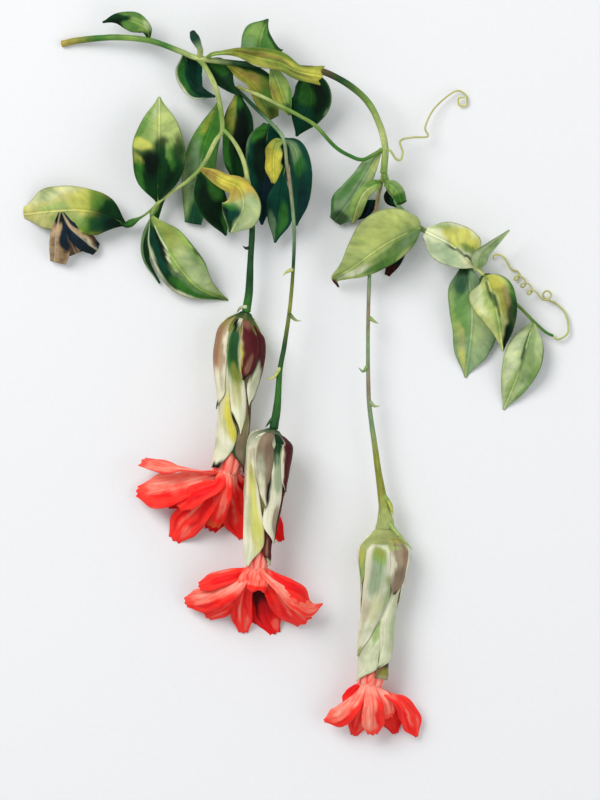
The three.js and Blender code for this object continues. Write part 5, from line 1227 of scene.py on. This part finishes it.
def bract_shell(shape, head, bract, settings, seed):
    """Adds one overlapping bract: a thin leathery shell with a loose tip."""
    start, end, left, right, layer, base, patches = bract
    rows = max(int((end - start) * BRACT_ROWS), LEAST_BRACT_ROWS)
    at, _, side, normal, length = route(head["axis"], AXIS_STEPS)
    t, u = np.meshgrid(np.linspace(0, 1, rows + 1), np.linspace(-1, 1, BRACT_COLUMNS + 1), indexing="ij")
    s = start + (end - start) * t
    k, steps = s * AXIS_STEPS, np.arange(AXIS_STEPS + 1)
    middle, side, normal = (
        np.stack([np.interp(k, steps, v[:, i]) for i in range(3)], axis=-1) for v in (at, side, normal))
    bearing = along(left, t) + (along(right, t) - along(left, t)) * (1 - u) / 2
    jag = 1.6 * ripple(t * 14, u * 2, seed) * np.abs(u) ** 3
    angle = np.radians(bearing + jag)[..., None]
    drop = 0.6 * (3 - layer) * (1 - smooth(t, 0.35, 0.9))
    lift = mm(settings.bract_lift) * (0.7 * smooth(t, 0.75, 1) + 0.3 * smooth(np.abs(u), 0.7, 1))
    ridge = 0.25 * (1 - u ** 2) + 0.08 * np.cos(u * 9) - 0.3 * smooth(np.abs(u), 0.6, 1) * (1 - t)
    radius = (along(head["radii"], s) - drop + lift + ridge - 0.3)[..., None]
    middle = middle + radius * (normal * np.cos(angle) + side * np.sin(angle))
    half = np.radians(np.abs(along(right, t) - along(left, t))) / 2 * radius[..., 0]
    place = np.stack([u * half, s * length[-1], half], axis=-1)
    paint = toned(painted(base, patches, *loosened(t, -u, seed + 70)), 0.12, place, 0.6, 0.12, seed + 9)
    thickness = mm(settings.bract_thickness) * (1 - 0.6 * np.abs(u) ** 4) * (1 - 0.5 * smooth(t, 0.85, 1))
    sheet(shape, middle, thickness, paint, place)


def underside_bract(bearing, reach, spread, layer):
    """A bract that keeps its width down to the middle and then narrows to a point."""
    share = np.linspace(0, 1, 6)
    width = np.maximum((1 - np.maximum((share - 0.5) / 0.5, 0) ** 2) ** 0.8, 0.06) * spread
    return 0.03, reach, bearing - width, bearing + width, layer, "cream", UNDERSIDE_PATCHES


def mouth_frame(axis):
    """The mouth's middle, the way it faces, its side and its normal."""
    mouth, before = np.array(axis[-1], float), np.array(axis[-2], float)
    ahead = unit(mouth - before)
    side = unit(np.cross([0, 0, 1], ahead))
    return mouth, ahead, side, np.cross(ahead, side)


def corolla_cup(shape, head):
    """Adds the pleated cup of a head, with painted shade in its grooves and its throat, closed by two flat
    ends out of sight.
    """
    mouth, ahead, side, normal = mouth_frame(head["axis"])
    outer = head["radii"][-1] - CUP_INSET
    foot = CUP_PROFILE[0][0]
    turn = 2 * np.pi * np.arange(CUP_SIDES) / CUP_SIDES
    pleat = np.cos(CUP_PLEATS * turn + 0.4)
    # Painted shade in the grooves between the pleats: deep red where the wall dips in
    pleat_shade = smooth(-pleat, 0.2, 0.9)[:, None]
    outside = linear("blush") + 0.75 * pleat_shade * (linear("deep") - linear("blush"))
    # The inside of the cup takes the dark throat colour, partly painted shade in the hollow of the throat
    inside = np.tile(linear("throat"), (CUP_SIDES, 1))
    points, place, paint = [], [], []
    for i, (distance, spread) in enumerate(CUP_PROFILE):
        r = (outer + spread) * (1 + 0.05 * pleat)
        out = np.outer(r * np.cos(turn), side)
        points.append(mouth + ahead * distance + out + np.outer(r * np.sin(turn), normal))
        across, half = r * turn, np.full(CUP_SIDES, 6.0)
        place.append(np.column_stack([across, np.full(CUP_SIDES, distance - foot), half]))
        paint.append(outside if i < CUP_LIP else inside)
    points.append([mouth + ahead * CUP_PROFILE[k][0] for k in (0, -1)])
    place.append(np.zeros((2, 3)))
    paint.append(inside[:2])
    faces = ring_faces(len(CUP_PROFILE), CUP_SIDES)
    shape.add(np.vstack(points), faces, np.vstack(paint), np.vstack(place))


def ray_floret(shape, head, ray, settings, seed):
    """Adds one ray floret: a strap bent round the cup at its foot, with folds and a notched tip."""
    rib, wide, tip, look = ray
    mouth, ahead, side, normal = mouth_frame(head["axis"])
    out = np.array(rib[0]) - mouth
    bearing = np.degrees(np.arctan2(out @ normal, out @ side)) - 90
    bend = np.clip(bearing, -60, 60) if out @ normal > 0 else 0
    base, patches = RAY_LOOKS[look]
    spec = {
        "rib": [(np.array(rib[0]) - RAY_FOOT * ahead).tolist()] + rib,
        "left": [share * wide for share in RAY_PROFILE] + [tip * wide],
        "turn": [bend * share for share in (1, 0.9, 0.5, 0.2, 0, 0)],
        "fold": [-4, -4], "curl": [-20, -20],
        "wave": (0.03 if look == "lip" else 0.1) * wide, "waves": 2.6,
        "teeth": 0.16 * wide * (0.4 + tip)}
    middle, t, u, place = blade_grid(spec, RAY_STEP, petal_relief(0.1 * wide), seed)
    paint = toned(painted(base, patches, *loosened(t, u, seed + 80)), 0.1, place, 0.9, 0.1, seed)
    thickness = mm(settings.petal_thickness) * (1 - 0.5 * np.abs(u) ** 3) * (1 - 0.5 * smooth(t, 0.8, 1))
    sheet(shape, middle, thickness, paint, place, 0.8 * paint + 0.2 * linear("salmon"))


def disc_florets(shape, head, count):
    """Adds the foot and the slim tubes of the disc, each with a flared mouth and a style that stands out."""
    mouth, ahead, side, normal = mouth_frame(head["axis"])

    def place(distance, turn, spread):
        return mouth + ahead * distance + side * spread * np.cos(turn) + normal * spread * np.sin(turn)

    foot = [place(distance, 0, 0) for distance in (0.4, 1.4, 2.4)]
    tube(shape, foot, [2, 2, 1.8], 16, 0.5, stops("throat", "maroon"))
    for i in range(count):
        turn = DISC_TURN * i
        spread = DISC_SPREAD * np.sqrt((i + 0.5) / count)
        height = DISC_REACH * (0.82 + 0.18 * np.sin(turn))
        stations = ((1.2, 0.5), (0.6 * height, 0.8), (height, 1))
        points = [place(distance, turn, share * spread) for distance, share in stations]
        tube(shape, points, [0.4, 0.36, 0.32, 0.34, 0.5], 10, 0.6, stops("throat", "maroon", "deep"))
        tip = place(height + 1.2, turn, spread * 1.15)
        style = [points[2], 0.5 * (points[2] + tip), tip]
        tube(shape, style, [0.2, 0.2, 0.26], 6, 0.6, stops("maroon", "orange"))


def coil_points():
    """The places along the tendril's coil, from its start to its end."""
    start, end = np.array(COIL["start"], float), np.array(COIL["end"], float)
    axis = end - start
    side = unit(np.cross([0, 0, 1], axis))
    ahead = np.cross(side, [0, 0, 1])
    share = np.arange(COIL["steps"] + 1) / COIL["steps"]
    turn = 2 * np.pi * (COIL["turns"] * share - 0.25)
    ring = COIL["radius"] * (np.outer(np.cos(turn), ahead) + np.outer(np.sin(turn), side))
    return (start + np.outer(share, axis) + ring).tolist()


# Settings


class SprigLeafSettings(bpy.types.PropertyGroup):
    thickness: bpy.props.FloatProperty(
        name="Thickness", description="Thickness of a leaflet beside its midrib",
        default=0.0006, min=0.0002, max=0.0015, precision=5, subtype="DISTANCE", unit="LENGTH")
    vein_spacing: bpy.props.FloatProperty(
        name="Vein spacing", description="Distance from one side vein to the next along the midrib",
        default=0.0035, min=0.001, max=0.01, precision=5, subtype="DISTANCE", unit="LENGTH")
    relief: bpy.props.FloatProperty(
        name="Relief", description="Depth of the side veins in the leaflet's skin",
        default=0.00016, min=0.0, max=0.0006, precision=5, subtype="DISTANCE", unit="LENGTH")
    step: bpy.props.FloatProperty(
        name="Step", description="Distance from one row of faces to the next",
        default=0.0007, min=0.0003, max=0.003, precision=5, subtype="DISTANCE", unit="LENGTH")


class SprigStemSettings(bpy.types.PropertyGroup):
    sides: bpy.props.IntProperty(
        name="Sides", description="Faces round a stem", default=16, min=6, max=32)
    step: bpy.props.FloatProperty(
        name="Step", description="Distance from one ring of a stem to the next",
        default=0.001, min=0.0004, max=0.004, precision=5, subtype="DISTANCE", unit="LENGTH")
    streaks: bpy.props.FloatProperty(
        name="Streaks", description="Strength of the darker lengthwise streaks",
        default=0.6, min=0.0, max=1.0, subtype="FACTOR")


class SprigHeadSettings(bpy.types.PropertyGroup):
    bract_thickness: bpy.props.FloatProperty(
        name="Bract thickness", description="Thickness of a bract in its middle",
        default=0.0007, min=0.0003, max=0.0015, precision=5, subtype="DISTANCE", unit="LENGTH")
    bract_lift: bpy.props.FloatProperty(
        name="Bract lift", description="How far a bract's tip and edges stand off the bract below",
        default=0.0005, min=0.0, max=0.002, precision=5, subtype="DISTANCE", unit="LENGTH")
    petal_thickness: bpy.props.FloatProperty(
        name="Petal thickness", description="Thickness of a ray floret in its middle",
        default=0.0006, min=0.0002, max=0.0015, precision=5, subtype="DISTANCE", unit="LENGTH")
    florets: bpy.props.IntProperty(
        name="Disc florets", description="Slim tubes in the throat of each flower head",
        default=12, min=3, max=30)


class SprigStageSettings(bpy.types.PropertyGroup):
    floor_size: bpy.props.FloatProperty(
        name="Floor size", description="Side of the square floor",
        default=3.0, min=0.5, max=10.0, subtype="DISTANCE", unit="LENGTH")
    floor_colour: bpy.props.FloatVectorProperty(
        name="Floor colour", description="Colour of the plain floor",
        default=(0.8, 0.8, 0.8), min=0.0, max=1.0, size=3, subtype="COLOR")
    key_power: bpy.props.FloatProperty(
        name="Key light", description="Power of the large soft light from the upper left",
        default=27.0, min=0.0, max=200.0, subtype="POWER", unit="POWER")
    fill_power: bpy.props.FloatProperty(
        name="Fill light", description="Power of the broad light from the right",
        default=9.0, min=0.0, max=200.0, subtype="POWER", unit="POWER")
    sky: bpy.props.FloatProperty(
        name="Sky", description="Strength of the even light from all round", default=0.55, min=0.0, max=3.0)
    view_height: bpy.props.FloatProperty(
        name="View height", description="Height of what the camera takes in",
        default=0.336, min=0.1, max=2.0, subtype="DISTANCE", unit="LENGTH")
    lens: bpy.props.FloatProperty(
        name="Lens", description="Focal length of the camera",
        default=400.0, min=50.0, max=800.0, unit="CAMERA")


# Operators


class SPRIG_OT_stems(bpy.types.Operator):
    """Add the main stem, its branches, the flower stalks with their scales and the young shoot"""

    bl_idname = "sprig.stems"
    bl_label = "Stems"

    def execute(self, context):
        settings = context.scene.sprig_stems
        material = stem_material("stem_skin", settings.streaks, 0.45)
        for number, (name, (points, radii, colours)) in enumerate(STEMS.items()):
            shape = Shape()
            tube(shape, points, radii, settings.sides, mm(settings.step), stops(*colours), 0.05, number)
            for scale, tints in STALK_SCALES.get(name, []):
                long = np.linalg.norm(np.subtract(scale[-1], scale[0])) > LONG_SCALE
                tube(shape, scale, LONG_SCALE_RADII if long else SCALE_RADII, 10, 0.4, stops(*tints))
            shape.to_piece(name, material)
        return {"FINISHED"}


class SPRIG_OT_tendrils(bpy.types.Operator):
    """Add the two tendrils, one of them coiled"""

    bl_idname = "sprig.tendrils"
    bl_label = "Tendrils"

    def execute(self, context):
        settings = context.scene.sprig_stems
        material = stem_material("tendril_skin", 0.3, 0.5)
        paint_of = stops("stem_pale", "straw", "straw", "lime")
        for name, points in TENDRILS.items():
            if "coil" in points:
                k = points.index("coil")
                points = points[:k] + coil_points() + points[k + 1:]
            shape = Shape()
            tube(shape, points, TENDRIL_RADII, 8, mm(settings.step) / 2, paint_of)
            shape.to_piece(name, material)
        return {"FINISHED"}


class SPRIG_OT_leaves(bpy.types.Operator):
    """Add the leaflets, with the withered lower part of the left one"""

    bl_idname = "sprig.leaves"
    bl_label = "Leaflets"

    def execute(self, context):
        settings = context.scene.sprig_leaves
        material = leaf_material(mm(settings.vein_spacing))
        for number, (name, leaf) in enumerate(LEAVES.items()):
            shape = Shape()
            leaf_blade(shape, leaf, settings, number)
            if "stalk" in leaf:
                paint_of = stops("stem", "light", "leek", "dark")
                tube(shape, leaf["stalk"], leaf["stalk_radii"], 12, 0.6, paint_of)
            shape.to_piece(name, material)
            if name == "leaf_left":
                add_withered_flaps(settings, name)
        return {"FINISHED"}


def add_withered_flaps(settings, node):
    """Adds the withered lower part of a leaflet as a piece of its own."""
    shape = Shape()
    for number, flap in enumerate(WITHERED_FLAPS):
        leaf_blade(shape, flap, settings, 90 + number)
    shape.to_piece(node, withered_material(), "withered_flaps")


class SPRIG_OT_involucres(bpy.types.Operator):
    """Add the overlapping bracts round each flower head"""

    bl_idname = "sprig.involucres"
    bl_label = "Involucres"

    def execute(self, context):
        settings = context.scene.sprig_heads
        material = bract_material()
        under = [underside_bract(*bract) for bract in UNDERSIDE_BRACTS]
        for number, head in HEADS.items():
            shape = Shape()
            # The core's darker colours are painted shade where it shows between the bracts
            core = np.subtract(head["radii"], CORE_INSETS)
            tube(shape, head["axis"], core, 32, 1, stops(*CORE_COLOURS[number]))
            for k, bract in enumerate(under + head["bracts"]):
                bract_shell(shape, head, bract, settings, 10 * number + k)
            shape.to_piece("involucre_%d" % number, material)
        return {"FINISHED"}


class SPRIG_OT_rays(bpy.types.Operator):
    """Add the red ray florets and the cup they grow from"""

    bl_idname = "sprig.rays"
    bl_label = "Ray florets"

    def execute(self, context):
        settings = context.scene.sprig_heads
        material = petal_material()
        for number, head in HEADS.items():
            shape = Shape()
            corolla_cup(shape, head)
            for k, ray in enumerate(RAYS[number]):
                ray_floret(shape, head, ray, settings, 20 * number + k)
            shape.to_piece("rays_%d" % number, material)
        return {"FINISHED"}


class SPRIG_OT_discs(bpy.types.Operator):
    """Add the disc florets in each throat"""

    bl_idname = "sprig.discs"
    bl_label = "Disc florets"

    def execute(self, context):
        material = stem_material("disc_skin", 0.3, 0.4)
        for number, head in HEADS.items():
            shape = Shape()
            disc_florets(shape, head, context.scene.sprig_heads.florets)
            shape.to_piece("disc_%d" % number, material)
        return {"FINISHED"}


class SPRIG_OT_stage(bpy.types.Operator):
    """Add the plain floor, the soft lights and the camera"""

    bl_idname = "sprig.stage"
    bl_label = "Stage"

    def execute(self, context):
        settings = context.scene.sprig_stage
        half = settings.floor_size / 2
        mesh = bpy.data.meshes.new("floor")
        mesh.from_pydata([(-half, -half, 0), (half, -half, 0), (half, half, 0), (-half, half, 0)], [],
                         [(0, 1, 2, 3)])
        mesh.materials.append(floor_material(settings.floor_colour))
        floor = bpy.data.objects.new("floor", mesh)
        floor.location.z = -FLOOR_DROP
        context.scene.collection.objects.link(floor)
        add_light("key light", settings.key_power, KEY_SIZE, KEY_PLACE)
        add_light("fill light", settings.fill_power, FILL_SIZE, FILL_PLACE)
        world = bpy.data.worlds.new("even sky")
        world.use_nodes = True
        sky = world.node_tree.nodes["Background"].inputs
        sky["Color"].default_value = (*SKY_COLOUR, 1)
        sky["Strength"].default_value = settings.sky
        context.scene.world = world
        camera = bpy.data.cameras.new("camera")
        camera.lens = settings.lens
        camera.sensor_width = SENSOR
        camera.clip_end = CAMERA_REACH
        eye = bpy.data.objects.new("camera", camera)
        eye.location = (*VIEW_MIDDLE, settings.view_height * settings.lens / SENSOR)
        context.scene.collection.objects.link(eye)
        context.scene.camera = eye
        context.scene.view_settings.view_transform = "Standard"
        return {"FINISHED"}


def add_light(name, power, size, place):
    """Adds a soft square light that shines on the middle of the sprig."""
    lamp = bpy.data.lights.new(name, "AREA")
    lamp.energy = power
    lamp.size = size
    light = bpy.data.objects.new(name, lamp)
    light.location = place
    light.rotation_euler = (-light.location).to_track_quat("-Z", "Y").to_euler()
    bpy.context.scene.collection.objects.link(light)


class SPRIG_PT_panel(bpy.types.Panel):
    """Lists the steps that build the sprig, with their settings"""

    bl_idname = "SPRIG_PT_panel"
    bl_label = "Sprig"
    bl_space_type = "VIEW_3D"
    bl_region_type = "UI"
    bl_category = "Sprig"

    def draw(self, context):
        for operator in OPERATORS:
            self.layout.operator(operator.bl_idname)
        for group in GROUPS:
            settings = getattr(context.scene, group)
            box = self.layout.box()
            for name in settings.__annotations__:
                box.prop(settings, name)


OPERATORS = (SPRIG_OT_stems, SPRIG_OT_tendrils, SPRIG_OT_leaves, SPRIG_OT_involucres, SPRIG_OT_rays,
             SPRIG_OT_discs, SPRIG_OT_stage)
GROUPS = {"sprig_leaves": SprigLeafSettings, "sprig_stems": SprigStemSettings,
          "sprig_heads": SprigHeadSettings, "sprig_stage": SprigStageSettings}


def register():
    for cls in (*GROUPS.values(), *OPERATORS, SPRIG_PT_panel):
        bpy.utils.register_class(cls)
    for name, group in GROUPS.items():
        setattr(bpy.types.Scene, name, bpy.props.PointerProperty(type=group))


def unregister():
    for name in GROUPS:
        delattr(bpy.types.Scene, name)
    for cls in (SPRIG_PT_panel, *reversed(OPERATORS), *reversed(GROUPS.values())):
        bpy.utils.unregister_class(cls)


def main():
    register()
    bpy.ops.sprig.stems()
    bpy.ops.sprig.tendrils()
    bpy.ops.sprig.leaves()
    bpy.ops.sprig.involucres()
    bpy.ops.sprig.rays()
    bpy.ops.sprig.discs()
    bpy.ops.sprig.stage()


if __name__ == "__main__":
    main()
